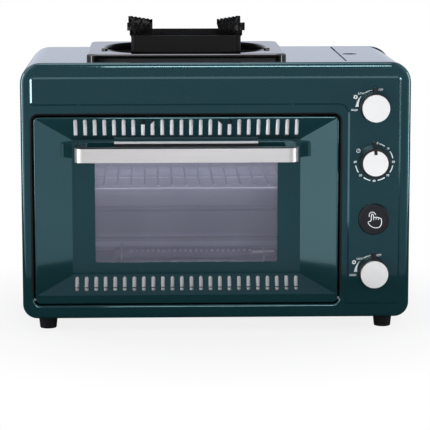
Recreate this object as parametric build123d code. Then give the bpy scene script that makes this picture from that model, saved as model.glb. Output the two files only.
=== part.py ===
from build123d import *
import os
from math import cos, hypot, radians, sin

os.makedirs("parts", exist_ok=True)

# Portable gas oven with one stove burner on its top. Millimetres, +Z up, face towards -Y.
# "Depth" is measured back from the body's face, so depth 0 is the face.

# ---- Driving dimensions -------------------------------------------------------------
# Body
body_width = 480.0
body_depth = 270.0
body_height = 318.0
front_reach = 20.0        # the handle and the knob caps stand this far out of the face
panel_sheet = 0.8
top_radius = 25.0
base_radius = 18.0
edge_roll = 5.0           # rolled edge round the face and the back
pan_flange = 20.0         # side of the drawn front and back pans
seam = 0.4                # gap between the sheets that meet edge to edge
lap = 10.0                # how far a joggled edge runs under its neighbour
lap_hold = 6.0
side_seam_height = 44.0   # seam between base pan and covers, above the body's base
fit_gap = 0.3             # clearance between pieces of different bodies
past = 1.0                # how far a cut runs past the face that it leaves

# Feet
foot_height = 16.0
foot_top_radius = 12.0
foot_base_radius = 10.25
foot_side_inset = 30.0
foot_depth_inset = 28.0
foot_round = 1.2
foot_bore = 2.1
foot_bore_depth = 12.0

# Screws, all of one size
screw_shank = 2.0
screw_head = 4.0
screw_head_height = 2.0
screw_length = 11.0
screw_clearance = 0.2

# Back and base of the body
vent_rows = 3
vent_pitch = 24.0
vent_length = 16.0
vent_width = 4.0
vent_row_pitch = 26.0
back_recess = 2.6
back_recess_margin = 26.0
back_recess_corner = 8.0
back_screw_inset = 14.0
base_vent_count = 9
base_vent_pitch = 26.0
base_vent_length = 60.0
base_vent_width = 5.0

# Raised strip on the face: along the top and down the control side
strip_side_margin = 12.4
strip_top_margin = 17.2
strip_base_margin = 16.6
strip_band_height = 35.0
strip_column_width = 65.2
strip_rise = 1.6
strip_corner = 4.0
strip_inner_corner = 12.0
strip_slope = 2.2         # sloped edge: its width on the strip's face
strip_slope_depth = 1.5   # and its depth

# Door
door_left_margin = 16.0
door_right_margin = 89.0
door_base_margin = 19.0
door_top_margin = 66.5
door_corner = 6.0
door_gap = 2.2
opening_roll = 2.5
door_sheet = 0.8
door_flange = 20.0
door_rim = 2.0
door_rim_round = 1.5
door_sill = 10.5          # flat band below the sunk frame
door_sink = 16.0          # how deep the inner flat lies behind the rim
door_slope_side = 44.0
door_slope_top = 27.5
door_slope_base = 23.5
window_side = 28.2        # from the inner flat's edges to the window
window_sill = 15.2
window_head = 18.8
window_corner = 3.0
slot_side = 2.9           # from the inner flat's side edges to the rows of slots
slot_pitch = 11.85
slot_width = 4.6
top_slot_length = 24.4
base_slot_length = 16.6
slot_flat_gap = 2.4       # from the inner flat's edge to the slots' ends
glass_thickness = 4.0
glass_margin = 8.0
liner_sheet = 0.8
liner_flange = 5.0
liner_window_gap = 4.0    # the liner's opening is this much larger than the window all round
glass_bracket_spacing = 94.8
glass_bracket_width = 5.6     # the tongue, hidden between two slots
glass_bracket_head = 6.9      # height of the head under the door's top flange
glass_bracket_outward = 11.6  # the head's reach from the tongue's middle
glass_bracket_inward = 9.4
glass_bracket_sheet = 1.6

# Handle
handle_side = 4.1         # from the inner flat's side edges to the handle's ends
handle_height = 17.0
handle_drop = 7.5         # from the inner flat's top edge to the strap's top edge
strap_thickness = 1.2
strap_bend = 12.0
strap_return = 14.0       # length of the strap's ends, measured back from the grip's face
core_rise = 1.0
post_width = 14.0
post_round = 1.5
post_screw_spacing = 9.0
clamp_side = 24.3         # from the window's side edges to the clamp's ends
clamp_height = 14.0
clamp_thickness = 5.0
clamp_drop = 2.4
clamp_bevel = 2.4

# Door hinge
pin_radius = 2.0
pin_running = 0.05
pin_depth = 4.5
pin_height = 4.6          # above the door's lower edge
pin_tail = 2.0            # how far the pins stand past the plates they sit in
hinge_plate = 3.0
hinge_plate_height = 24.0
hinge_plate_depth = 14.0
pin_bracket_depth = 11.0

# Oven cavity
cavity_left_margin = 50.0
cavity_right_margin = 123.0
cavity_base_margin = 44.0
cavity_height = 190.0
cavity_sheet = 0.8
cavity_front = 22.6
cavity_back_gap = 23.0    # to the outer face of the back
cavity_corner = 4.0
frame_lap = 6.0           # how far the frame's rim reaches over the opening's flange
runner_rise = 7.0
runner_height = 10.0
runner_level = 111.0      # upper runner's top, above the cavity floor
runner_spacing = 53.0
runner_end_gap = 6.0
crease_rise = 2.4
crease_height = 8.0
crease_level = 61.0

# Wire rack
rack_wire = 2.0
rack_grid_wire = 1.2
rack_pitch = 17.3
rack_side_gap = 1.6
rack_front_gap = 20.4
rack_back_gap = 2.0
rack_corner = 10.0
rack_weld = 0.3

# Oven burner
burner_tube = 8.0
burner_wall = 1.0
burner_depth = 150.0
burner_level = 12.0       # axis above the cavity floor
burner_left_gap = 62.0
burner_cap_wall = 2.0
burner_air_reach = 32.0   # into the space between cavity and bay
port_end_gap = 66.0       # from the last port to the right wall, at least
port_pitch = 7.0
port_radius = 1.1
port_tilt = 35.0          # ports point this far up from level, towards the door
port_first = 22.0         # from the tube's closed end
bracket_sheet = 1.2
bracket_half_width = 12.0
bracket_foot = 14.0
bracket_inset = 8.0
air_window_length = 14.0
injector_length = 10.0
injector_radius = 5.0
electrode_ceramic = 3.0
electrode_wire = 0.8
electrode_gap = 4.0       # from the wire's tip to the ports
electrode_length = 30.0
electrode_start = 52.0    # from the right wall
electrode_offset = 16.0   # in front of the burner tube's axis
electrode_rise = 3.0
sensor_radius = 2.2
sensor_lead = 1.5
sensor_depth_step = 8.0
sensor_reach = 66.0       # from the right wall
lead_depth = 27.5

# Control side
control_drop_stove = 55.4       # below the body's top
control_drop_timer = 122.9
control_rise_button = 123.6     # above the body's base
control_rise_oven = 56.8
knob_radius = 17.6
knob_cap_radius = 16.9
knob_skirt = 18.4
knob_skirt_height = 5.0
knob_gap = 0.8
knob_round = 1.0
cap_thickness = 3.0
timer_cap_radius = 15.6
timer_cap_sunk = 2.4
pointer_width = 4.0
pointer_base = 10.0       # the pointer at the skirt narrows from this width
pointer_end = 2.4         # to this one
pointer_reach = 6.6       # from the skirt's edge to the pointer's end
notch_length = 5.0
spindle_radius = 3.0
spindle_length = 16.0     # behind the face
spindle_running = 0.05
spindle_hole = 4.0
button_radius = 19.0
button_gap = 0.5
button_proud = 5.4
button_travel = 4.0
button_wall = 1.8
button_skirt = 15.0       # length of the button's side
button_dish = 0.8
button_round = 1.2
button_stem = 4.0
stem_reach = 26.0         # depth of the stem's end behind the face
valve_radius = 9.0
valve_hex = 20.0
valve_hex_depth = 8.0
valve_outlet = 4.5
valve_outlet_reach = 14.0
valve_outlet_depth = 27.5
oven_valve_depth = 40.0
timer_body_radius = 25.0
timer_body_depth = 29.0
timer_bell_radius = 16.0
timer_bell_depth = 8.0
safety_radius = 12.0
safety_front = 20.0
safety_back = 44.0
safety_plate = 2.0
safety_plate_height = 22.0
safety_plate_depth = 34.0

# Cartridge bay
bay_margin = 81.8          # from the body's right side to the partition
partition_sheet = 1.0
partition_front = 31.0
cartridge_radius = 34.0
cartridge_clearance = 1.5
cartridge_drop = 6.0       # from the lid down to the cartridge
regulator_radius = 20.0
regulator_depth = 44.0
regulator_length = 14.0
regulator_round = 2.0
nozzle_radius = 11.0
nozzle_length = 8.0
socket_radius = 7.0
socket_depth = 7.0
cradle_sheet = 1.0
cradle_front = 90.0
cradle_back_gap = 34.0    # to the outer face of the back
cradle_angle = 104.0
cradle_leg = 22.0
cradle_foot = 10.0
ledge_width = 5.6

# Lid of the cartridge bay
lid_slit = 2.5
lid_flange = 3.0
lid_radius = 29.0
lid_end_gap = 0.9
lid_hinge_drop = 72.0      # hinge axis below the body's top
hinge_barrel = 3.2
hinge_pin = 1.5
knuckle_count = 5
knuckle_gap = 0.4
leaf_length = 14.0
knuckle_clearance = 2.4
finger_radius = 9.5
finger_depth = 6.0
finger_inset = 13.0
finger_centre = 131.0
slit_edge = 4.0            # height of the cover's turned-down edge

# Stove top
tray_width = 248.0
tray_height = 8.0
tray_corner = 14.0
tray_round = 3.0
tray_sheet = 1.0
tray_left_inset = 80.6     # from the body's left side
tray_front_inset = 35.0
tray_back_inset = 13.0
recess_side = 20.0         # from the tray's edges to the recess
recess_front = 26.0
recess_drop = 4.0
recess_slope = 3.5
tray_screw_side = 103.0
tray_screw_front = 38.0
tray_hole = 38.0
cover_hole = 40.0
base_cup_radius = 28.0
base_cup_wall = 2.0
base_cup_height = 28.0
base_flange = 46.0
base_flange_thickness = 1.6
mixing_tube = 9.0
mixing_wall = 1.5
mixing_front = 60.0
mixing_drop = 17.0         # axis below the body's top
head_radius = 30.0
head_neck = 26.0
head_bore = 20.0
head_foot = 5.0
head_flare = 6.0
head_top = 21.0            # above the body's top
head_ports = 20
head_port_width = 1.8
head_port_height = 3.6
cap_radius = 32.0
cap_height = 5.0
cap_round = 1.6
cap_spigot = 1.6
spigot_clearance = 0.2
stove_electrode_radius = 34.0
stove_electrode_angle = 35.0
stove_electrode_top = 16.0
stove_electrode_wire = 3.0
stove_electrode_ceramic = 2.4
stove_electrode_length = 30.0

# Pan stand
shield_width = 138.0
shield_depth = 134.0
shield_top = 27.8          # above the body's top
shield_sheet = 1.0
shield_corner = 6.0
shield_hem = 0.6
shield_hem_height = 1.6
arm_length = 39.0
arm_width = 6.0
arm_sheet = 1.2
arm_overhang = 6.3         # past the shield's corner
arm_low = 6.5              # underside of the arm above the shield
arm_high = 16.4
arm_fall = 2.6
arm_leg = 5.0
tooth_count = 5
tooth_pitch = 7.4
tooth_start = 5.0
tooth_depth = 2.6
tooth_width = 6.2
lower_tooth_count = 4      # along the arm's underside, inward of its leg
lower_tooth_width = 4.4
lower_tooth_gap = 1.2      # from their tips to the shield's rim

# Gas pipes
pipe_radius = 3.0
pipe_bend = 12.0
pipe_hole = 0.4
supply_drop = 14.0

# ---- Places worked out from them ----------------------------------------------------
left = -body_width / 2
right = body_width / 2
base_z = foot_height
top_z = base_z + body_height
face_y = (front_reach - body_depth) / 2

door_left = left + door_left_margin
door_right = right - door_right_margin
door_base = base_z + door_base_margin
door_top = top_z - door_top_margin
flat_left = door_left + door_rim + door_slope_side
flat_right = door_right - door_rim - door_slope_side
flat_base = door_base + door_sill + door_slope_base
flat_top = door_top - door_rim - door_slope_top
door_centre = (door_left + door_right) / 2
flat_width = flat_right - flat_left
flat_depth = door_sink + door_sheet
window_base = flat_base + window_sill
window_width = flat_width - 2 * window_side
window_height = flat_top - window_head - window_base
slot_row_width = flat_width - 2 * slot_side
slot_count = int((slot_row_width - slot_width) / slot_pitch) + 1
handle_length = flat_width - 2 * handle_side
glass_front = flat_depth
liner_depth = glass_front + glass_thickness

pin_z = door_base + pin_height

cavity_left = left + cavity_left_margin
cavity_right = right - cavity_right_margin
cavity_base = base_z + cavity_base_margin
cavity_top = cavity_base + cavity_height
cavity_centre = (cavity_left + cavity_right) / 2
cavity_width = cavity_right - cavity_left
cavity_back = body_depth - cavity_back_gap
vent_count = int((cavity_width - vent_length) / vent_pitch) + 1

strip_left = left + strip_side_margin
strip_right = right - strip_side_margin
strip_top = top_z - strip_top_margin
strip_base = base_z + strip_base_margin
strip_under = strip_top - strip_band_height
strip_inner = strip_right - strip_column_width
control_x = (strip_inner + strip_right) / 2

side_seam = base_z + side_seam_height
partition_x = right - bay_margin
cover_edge = partition_x + partition_sheet + panel_sheet
lid_left = cover_edge + lid_slit
hinge_x = right - panel_sheet - hinge_barrel
hinge_z = top_z - lid_hinge_drop
lid_front = pan_flange + lid_end_gap
lid_back = body_depth - pan_flange - lid_end_gap

tray_depth = body_depth - tray_front_inset - tray_back_inset
tray_x = left + tray_left_inset + tray_width / 2
tray_centre_depth = tray_front_inset + tray_depth / 2
tray_top = top_z + tray_height
recess_floor = tray_top - recess_drop

cartridge_x = (partition_x + partition_sheet + right - panel_sheet) / 2
burner_z = cavity_base + burner_level
mixing_z = top_z - mixing_drop
shield_rim = top_z + shield_top
cartridge_z = top_z - panel_sheet - cartridge_drop - cartridge_radius
cradle_back = body_depth - cradle_back_gap

stove_z = top_z - control_drop_stove
timer_z = top_z - control_drop_timer
button_z = base_z + control_rise_button
oven_z = base_z + control_rise_oven
plateau = -strip_rise


# ---- Small helpers ------------------------------------------------------------------
def block(x0, x1, d0, d1, z0, z1):
    """Box between two X values, two depths and two heights."""
    middle = Pos((x0 + x1) / 2, face_y + (d0 + d1) / 2, (z0 + z1) / 2)
    return middle * Box(x1 - x0, d1 - d0, z1 - z0)


def slab(sketch, d0, d1):
    """Solid between two depths, from a sketch drawn in X and Z."""
    plane = Plane(origin=(0, face_y + d1, 0), x_dir=(1, 0, 0), z_dir=(0, -1, 0))
    return extrude(plane * sketch, d1 - d0)


def sheet_of(sketch, z0, z1):
    """Solid between two heights, from a sketch drawn in X and depth."""
    return Pos(0, face_y, z0) * extrude(sketch, z1 - z0)


def rounded(x0, x1, z0, z1, radius):
    return Pos((x0 + x1) / 2, (z0 + z1) / 2) * RectangleRounded(x1 - x0, z1 - z0, radius)


def rod_x(radius, x0, x1, depth, z):
    plane = Plane(origin=(x0, face_y + depth, z), x_dir=(0, 1, 0), z_dir=(1, 0, 0))
    return extrude(plane * Circle(radius), x1 - x0)


def rod_y(radius, d0, d1, x, z):
    return slab(Pos(x, z) * Circle(radius), d0, d1)


def rod_z(radius, z0, z1, x, depth):
    return sheet_of(Pos(x, depth) * Circle(radius), z0, z1)


def front_edges(solid):
    return solid.faces().sort_by(Axis.Y)[0].edges()


def top_edges(solid):
    return solid.faces().sort_by(Axis.Z)[-1].edges()


def pipe(points, bend):
    """Round pipe along straight runs joined by bends; points are X, depth and height."""
    path = FilletPolyline(*[(x, face_y + d, z) for x, d, z in points], radius=bend)
    return sweep(Plane(path @ 0, z_dir=path % 0) * Circle(pipe_radius), path)


def group(solids):
    return Compound(children=list(solids))


# ---- Outer casing -------------------------------------------------------------------
def body_outline(inset, shoulder=top_radius):
    height = body_height - 2 * inset
    shape = Pos(0, base_z + body_height / 2) * Rectangle(body_width - 2 * inset, height)
    shape = fillet(shape.vertices().group_by(Axis.Y)[-1], shoulder - inset)
    return fillet(shape.vertices().group_by(Axis.Y)[0], base_radius - inset)


def door_outline(grow):
    return rounded(door_left - grow, door_right + grow, door_base - grow, door_top + grow,
                   door_corner + grow)


def strip_outline(inset):
    """Inverted L: a band under the top edge and a column down the control side."""
    corners = [(strip_left + inset, strip_top - inset), (strip_right - inset, strip_top - inset),
               (strip_right - inset, strip_base + inset), (strip_inner + inset, strip_base + inset),
               (strip_inner + inset, strip_under + inset), (strip_left + inset, strip_under + inset)]
    shape = make_face(Polyline(*corners, close=True))
    inner = shape.vertices().sort_by_distance(Vector(*corners[4]))[0]
    shape = fillet(inner, strip_inner_corner + inset)
    del corners[4]
    outer = [shape.vertices().sort_by_distance(Vector(*corner))[0] for corner in corners]
    return fillet(outer, strip_corner - inset)


def lap_ring(d0, d1):
    """Joggled edge that lies against the inside of the next sheet, notched for the feet's screws."""
    ring = slab(body_outline(panel_sheet) - body_outline(2 * panel_sheet), d0, d1)
    ring -= block(lid_left - lid_slit, right, d0, d1, hinge_z - leaf_length, top_z)
    for x, d in foot_places():
        ring -= rod_z(screw_head + screw_clearance, base_z, base_z + 2 * panel_sheet, x, d)
    for x, d in lap_screw_places():
        ring -= rod_z(screw_shank + screw_clearance, base_z, base_z + 2 * panel_sheet, x, d)
    return ring


def front_form(inset):
    form = slab(body_outline(inset), inset, pan_flange + inset)
    form = fillet(front_edges(form), edge_roll - inset)
    strip = slab(strip_outline(inset), inset - strip_rise, inset + strip_rise)
    steepness = 1 / strip_slope + 1 / strip_slope_depth - hypot(1 / strip_slope, 1 / strip_slope_depth)
    shrink = 1 - inset * steepness
    top = strip.faces().sort_by(Axis.Y)[0]
    form += chamfer(top.edges(), strip_slope * shrink, strip_slope_depth * shrink, reference=top)
    form -= slab(door_outline(door_gap + inset), 0, pan_flange + edge_roll)
    grow = door_gap + inset + strip_rise
    mouth = [edge for edge in form.edges()
             if abs(edge.center().Y - face_y - inset) < strip_rise / 4
             and door_left - grow < edge.center().X < door_right + grow
             and door_base - grow < edge.center().Z < door_top + grow]
    return fillet(mouth, opening_roll - inset)


def front_panel():
    pan = front_form(0) - front_form(panel_sheet)
    pan += lap_ring(pan_flange - lap_hold, pan_flange + lap)
    for z in (stove_z, timer_z, oven_z):
        pan -= rod_y(spindle_hole, plateau - past, pan_flange, control_x, z)
    pan -= rod_y(button_radius + button_gap, plateau - past, pan_flange, control_x, button_z)
    for x0, x1 in hinge_spans(door_gap + panel_sheet, door_gap + panel_sheet):
        pan -= rod_x(pin_radius + pin_running, x0, x1, pin_depth, pin_z)
    return pan


def back_recess_outline(grow):
    margin = back_recess_margin - grow
    return rounded(left + margin, right - margin, base_z + margin, top_z - margin,
                   back_recess_corner + grow)


def back_form(inset):
    form = slab(body_outline(inset), body_depth - pan_flange - inset, body_depth - inset)
    form = fillet(form.faces().sort_by(Axis.Y)[-1].edges(), edge_roll - inset)
    return form - slab(back_recess_outline(inset), body_depth - back_recess - inset, body_depth + past)


def back_screw_places():
    span_x = body_width / 2 - back_recess_margin - back_screw_inset
    span_z = body_height / 2 - back_recess_margin - back_screw_inset
    middle = base_z + body_height / 2
    return [(sx * span_x, middle + sz * span_z) for sx in (-1, 1) for sz in (-1, 1)]


def vent_row(z):
    first = cavity_centre - vent_pitch * (vent_count - 1) / 2
    return [Pos(first + i * vent_pitch, z) * SlotOverall(vent_length, vent_width) for i in range(vent_count)]


def back_panel():
    pan = back_form(0) - back_form(panel_sheet)
    pan += lap_ring(body_depth - pan_flange - lap, body_depth - pan_flange + lap_hold)
    for row in range(vent_rows):
        vents = Sketch() + vent_row(cavity_top - row * vent_row_pitch)
        pan -= slab(vents, body_depth - pan_flange, body_depth + past)
    for x, z in back_screw_places():
        pan -= rod_y(screw_shank + screw_clearance, body_depth - pan_flange, body_depth + past, x, z)
    return pan


def casing_ring():
    """Plain sheet round the body, between the front and back pans."""
    ring = body_outline(0) - body_outline(panel_sheet)
    return slab(ring, pan_flange + seam, body_depth - pan_flange - seam)


def tray_screw_places():
    d = tray_centre_depth - tray_screw_front
    return [(tray_x - tray_screw_side, d), (tray_x + tray_screw_side, d)]


def top_cover():
    """Left side, left shoulder and top as one folded sheet, with a turned-down edge at the slit."""
    cover = casing_ring() & block(left, cover_edge, 0, body_depth, side_seam + seam, top_z)
    cover += block(cover_edge - panel_sheet, cover_edge, partition_front, body_depth - partition_front,
                   top_z - slit_edge, top_z - panel_sheet)
    cover -= rod_z(cover_hole, top_z - slit_edge, top_z + past, tray_x, tray_centre_depth)
    for x, d in tray_screw_places():
        cover -= rod_z(screw_shank + screw_clearance, top_z - slit_edge, top_z + past, x, d)
    return cover


def knuckle_spans():
    """Depth ranges of the hinge knuckles; the even ones belong to the side panel."""
    length = (lid_back - lid_front) / knuckle_count
    return [(lid_front + i * length + knuckle_gap / 2, lid_front + (i + 1) * length - knuckle_gap / 2)
            for i in range(knuckle_count)]


def knuckle(span, z0, z1):
    """Rolled barrel with its leaf, which lies against the inside of the sheet."""
    barrel = rod_y(hinge_barrel, *span, hinge_x, hinge_z)
    leaf = block(right - 2 * panel_sheet, right - panel_sheet, *span, z0, z1)
    bore = rod_y(hinge_pin + pin_running, span[0] - past, span[1] + past, hinge_x, hinge_z)
    return barrel + leaf - bore


def right_side_panel():
    panel_top = hinge_z - hinge_barrel - knuckle_clearance
    panel = casing_ring() & block(right - base_radius, right, 0, body_depth, side_seam + seam, panel_top)
    for span in knuckle_spans()[::2]:
        panel += knuckle(span, hinge_z - leaf_length, hinge_z)
    return panel


def canister_lid():
    """Right-hand part of the top with its shoulder, hinged low on the side."""
    ring = body_outline(0, lid_radius) - body_outline(panel_sheet, lid_radius)
    lid_base = hinge_z + hinge_barrel + knuckle_gap
    lid = slab(ring, lid_front, lid_back) & block(lid_left, right, lid_front, lid_back, lid_base, top_z)
    lid += block(lid_left, lid_left + panel_sheet, lid_front, lid_back,
                 top_z - panel_sheet - lid_flange, top_z)
    x = lid_left + finger_inset
    lid += rod_z(finger_radius + panel_sheet, top_z - finger_depth, top_z, x, finger_centre)
    lid -= rod_z(finger_radius, top_z - finger_depth + panel_sheet, top_z + past, x, finger_centre)
    for span in knuckle_spans()[1::2]:
        lid += knuckle(span, hinge_z, hinge_z + leaf_length)
    return lid


def lid_hinge_pin():
    return rod_y(hinge_pin, lid_front, lid_back, hinge_x, hinge_z)


def foot_places():
    return [(x, d) for x in (left + foot_side_inset, right - foot_side_inset)
            for d in (foot_depth_inset, body_depth - foot_depth_inset)]


def lap_screw_places():
    depths = (pan_flange + lap / 2, body_depth - pan_flange - lap / 2)
    return [(x, d) for x in (cavity_left, cavity_centre, cavity_right) for d in depths]


def base_pan():
    """Bottom and both lower corners as one folded sheet, with laps inside the side sheets."""
    pan = casing_ring() & block(left, right, 0, body_depth, base_z, side_seam)
    lap_piece = slab(body_outline(panel_sheet) - body_outline(2 * panel_sheet), partition_front,
                     body_depth - partition_front)
    pan += lap_piece & block(left, right, 0, body_depth, side_seam - lap_hold, side_seam + lap)
    vents = Sketch() + [
        Pos(cavity_centre + (i - (base_vent_count - 1) / 2) * base_vent_pitch, burner_depth)
        * (Rot(0, 0, 90) * SlotOverall(base_vent_length, base_vent_width))
        for i in range(base_vent_count)]
    pan -= sheet_of(vents, base_z - past, base_z + panel_sheet + past)
    for x, d in foot_places() + lap_screw_places():
        pan -= rod_z(screw_shank + screw_clearance, base_z - past, base_z + panel_sheet + past, x, d)
    return pan


def feet():
    pads = []
    for x, d in foot_places():
        sole = Pos(x, face_y + d) * Circle(foot_base_radius)
        crown = Pos(x, face_y + d, foot_height) * Circle(foot_top_radius)
        pad = loft([sole, crown])
        pad = fillet(pad.faces().sort_by(Axis.Z)[0].edges(), foot_round)
        pads.append(pad - rod_z(foot_bore, foot_height - foot_bore_depth, foot_height + past, x, d))
    return group(pads)


def screw(x, depth, z, direction):
    """Pan-head screw: its head sits on the point and its shank runs along the direction."""
    seat = Plane(origin=(x, face_y + depth, z), z_dir=direction)
    head = extrude(seat * Circle(screw_head), -screw_head_height)
    crown = head.faces().sort_by(Axis(seat.origin, seat.z_dir))[0]
    head = fillet(crown.edges(), screw_head_height / 2)
    return head + extrude(seat * Circle(screw_shank), screw_length)


def case_screws():
    """Screws of feet, back, base laps and tray."""
    solids = [screw(x, d, base_z + panel_sheet, (0, 0, -1)) for x, d in foot_places()]
    solids += [screw(x, body_depth - back_recess, z, (0, -1, 0)) for x, z in back_screw_places()]
    solids += [screw(x, d, base_z, (0, 0, 1)) for x, d in lap_screw_places()]
    solids += [screw(x, d, tray_top, (0, 0, -1)) for x, d in tray_screw_places()]
    return group(solids)


# ---- Oven cavity --------------------------------------------------------------------
def runner(side_x, inward, top):
    """Pressed rib that carries the rack."""
    z0 = top - runner_height
    edge = side_x + inward * runner_rise
    rib = make_face(Polyline((side_x, z0), (edge, z0 + runner_rise / 2), (edge, top), (side_x, top),
                             close=True))
    return slab(rib, cavity_front + runner_end_gap, cavity_back - runner_end_gap)


def cavity_side(x, inward):
    x0, x1 = sorted((x, x - inward * cavity_sheet))
    wall = block(x0, x1, cavity_front + cavity_sheet, cavity_back, cavity_base, cavity_top)
    for level in (runner_level, runner_level - runner_spacing):
        wall += runner(x, inward, cavity_base + level)
    return wall


def cavity_left_wall():
    return cavity_side(cavity_left, 1)


def cavity_right_wall():
    wall = cavity_side(cavity_right, -1)
    wall -= rod_x(burner_tube + screw_clearance, cavity_right - past, cavity_right + 2 * past, burner_depth,
                  burner_z)
    return wall - rod_x(sensor_lead + pipe_hole, cavity_right - past, cavity_right + 2 * past,
                        electrode_depth - sensor_depth_step, sensor_z)


def cavity_roof():
    return block(cavity_left - cavity_sheet, cavity_right + cavity_sheet, cavity_front + cavity_sheet,
                 cavity_back, cavity_top, cavity_top + cavity_sheet)


def cavity_floor():
    """Floor with a row of air slots along each side of the burner."""
    floor = block(cavity_left - cavity_sheet, cavity_right + cavity_sheet, cavity_front + cavity_sheet,
                  cavity_back, cavity_base - cavity_sheet, cavity_base)
    vents = Sketch() + [
        Pos(cavity_centre + (i - (base_vent_count - 1) / 2) * base_vent_pitch, burner_depth + offset)
        * SlotOverall(vent_length, vent_width)
        for i in range(base_vent_count) for offset in (-vent_row_pitch, vent_row_pitch)]
    return floor - sheet_of(vents, cavity_base - cavity_sheet - past, cavity_base + past)


def cavity_back_wall():
    """Back wall with a pressed crease across it and exhaust slots near its top."""
    wall = block(cavity_left - cavity_sheet, cavity_right + cavity_sheet, cavity_back,
                 cavity_back + cavity_sheet, cavity_base - cavity_sheet, cavity_top + cavity_sheet)
    z = cavity_base + crease_level
    back = face_y + cavity_back
    crease = make_face(Plane.YZ * Polyline((back, z), (back - crease_rise, z - crease_rise),
                                           (back - crease_rise, z - crease_height + crease_rise),
                                           (back, z - crease_height), close=True))
    reach = cavity_width / 2 - runner_rise - fit_gap
    wall += Pos(cavity_centre - reach, 0, 0) * extrude(crease, 2 * reach)
    exhaust = Sketch() + vent_row(cavity_top - vent_row_pitch / 2)[1:-1]
    return wall - slab(exhaust, cavity_back - past, cavity_back + cavity_sheet + past)


def cavity_frame():
    """Flat ring that closes the gap between cavity and face, with a rim over the opening's flange."""
    grow = door_gap + panel_sheet
    mouth = rounded(cavity_left, cavity_right, cavity_base, cavity_top, cavity_corner)
    ring = slab(door_outline(grow + cavity_sheet) - mouth, cavity_front, cavity_front + cavity_sheet)
    rim = door_outline(grow + cavity_sheet) - door_outline(grow)
    return ring + slab(rim, pan_flange - frame_lap, cavity_front)


def wire_rack():
    """Rod frame with a middle rod and a grid of thinner wires welded on top."""
    x0 = cavity_left + rack_side_gap + rack_wire
    x1 = cavity_right - rack_side_gap - rack_wire
    d0 = cavity_front + rack_front_gap + rack_wire
    d1 = cavity_back - rack_back_gap - rack_wire
    z = cavity_base + runner_level + fit_gap + rack_wire
    frame = Pos((x0 + x1) / 2, face_y + (d0 + d1) / 2, z) * RectangleRounded(x1 - x0, d1 - d0, rack_corner)
    path = frame.wire()
    rack = sweep(Plane(path @ 0, z_dir=path % 0) * Circle(rack_wire), path)
    rack += rod_x(rack_wire, x0, x1, (d0 + d1) / 2, z)
    grid_z = z + rack_wire + rack_grid_wire - rack_weld
    gaps = int((x1 - x0 - 2 * rack_corner) / rack_pitch)
    first = (x0 + x1 - gaps * rack_pitch) / 2
    for i in range(gaps + 1):
        rack += rod_y(rack_grid_wire, d0 - rack_wire / 2, d1 + rack_wire / 2, first + i * rack_pitch, grid_z)
    return rack


# ---- Oven burner --------------------------------------------------------------------
burner_left = cavity_left + burner_left_gap
burner_right = cavity_right + burner_air_reach
port_room = cavity_right - port_end_gap - burner_left - port_first
port_count = int(port_room / port_pitch) + 1
electrode_x = cavity_right - electrode_start
electrode_depth = burner_depth - electrode_offset
sensor_z = burner_z + electrode_rise


def oven_burner():
    """Tube across the cavity floor with a row of ports, closed at its left end."""
    tube = rod_x(burner_tube, burner_left, burner_right, burner_depth, burner_z)
    tube -= rod_x(burner_tube - burner_wall, burner_left + burner_cap_wall, burner_right + past, burner_depth,
                  burner_z)
    for i in range(port_count):
        x = burner_left + port_first + i * port_pitch
        axis = Plane(origin=(x, face_y + burner_depth, burner_z),
                     z_dir=(0, -cos(radians(port_tilt)), sin(radians(port_tilt))))
        tube -= extrude(axis * Circle(port_radius), burner_tube + past)
    window = SlotOverall(air_window_length, burner_tube)
    x = cavity_right + burner_air_reach / 2
    return tube - slab(Pos(x, burner_z) * window, burner_depth - burner_tube, burner_depth + burner_tube)


def burner_bracket():
    """Angle on the cavity floor that carries the closed end of the burner tube."""
    x = burner_left + bracket_inset
    d0 = burner_depth - bracket_half_width
    d1 = burner_depth + bracket_half_width
    bracket = block(x, x + bracket_sheet, d0, d1, cavity_base, burner_z + bracket_half_width)
    bracket += block(x, x + bracket_foot, d0, d1, cavity_base, cavity_base + bracket_sheet)
    return bracket - rod_x(burner_tube + pin_running, x - past, x + 2 * bracket_sheet, burner_depth, burner_z)


def electrode_bracket():
    """Angle on the cavity floor that carries the electrode and the sensor."""
    d0 = electrode_depth - bracket_half_width
    d1 = electrode_depth + bracket_half_width / 2
    x = electrode_x
    bracket = block(x, x + bracket_sheet, d0, d1, cavity_base, sensor_z + bracket_half_width / 2)
    bracket += block(x, x + bracket_foot, d0, d1, cavity_base, cavity_base + bracket_sheet)
    bracket -= rod_x(electrode_ceramic + pin_running, x - past, x + 2 * bracket_sheet, electrode_depth,
                     sensor_z)
    return bracket - rod_x(sensor_lead + pin_running, x - past, x + 2 * bracket_sheet,
                           electrode_depth - sensor_depth_step, sensor_z)


def oven_electrode():
    """Ceramic rod with a wire whose tip turns back towards the ports."""
    x0 = electrode_x - electrode_length / 2
    rod = rod_x(electrode_ceramic, x0, x0 + electrode_length, electrode_depth, sensor_z)
    rod = fillet(rod.edges().filter_by(GeomType.CIRCLE), electrode_ceramic / 4)
    tip_x = x0 - electrode_ceramic * 2
    rod += rod_x(electrode_wire, tip_x, x0 + past, electrode_depth, sensor_z)
    tip_end = burner_depth - burner_tube - electrode_gap
    return rod + rod_y(electrode_wire, electrode_depth, tip_end, tip_x + electrode_wire, sensor_z)


def thermocouple():
    """Flame sensor with its lead to the safety valve."""
    d = electrode_depth - sensor_depth_step
    tip = cavity_right - sensor_reach
    end = control_x - safety_radius
    middle = (cavity_right + partition_x) / 2
    path = FilletPolyline((tip, face_y + d, sensor_z), (middle, face_y + d, sensor_z),
                          (middle, face_y + lead_depth, button_z), (end, face_y + lead_depth, button_z),
                          radius=pipe_bend)
    lead = sweep(Plane(path @ 0, z_dir=path % 0) * Circle(sensor_lead), path)
    return lead + rod_x(sensor_radius, tip - bracket_half_width, tip, d, sensor_z)


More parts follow.
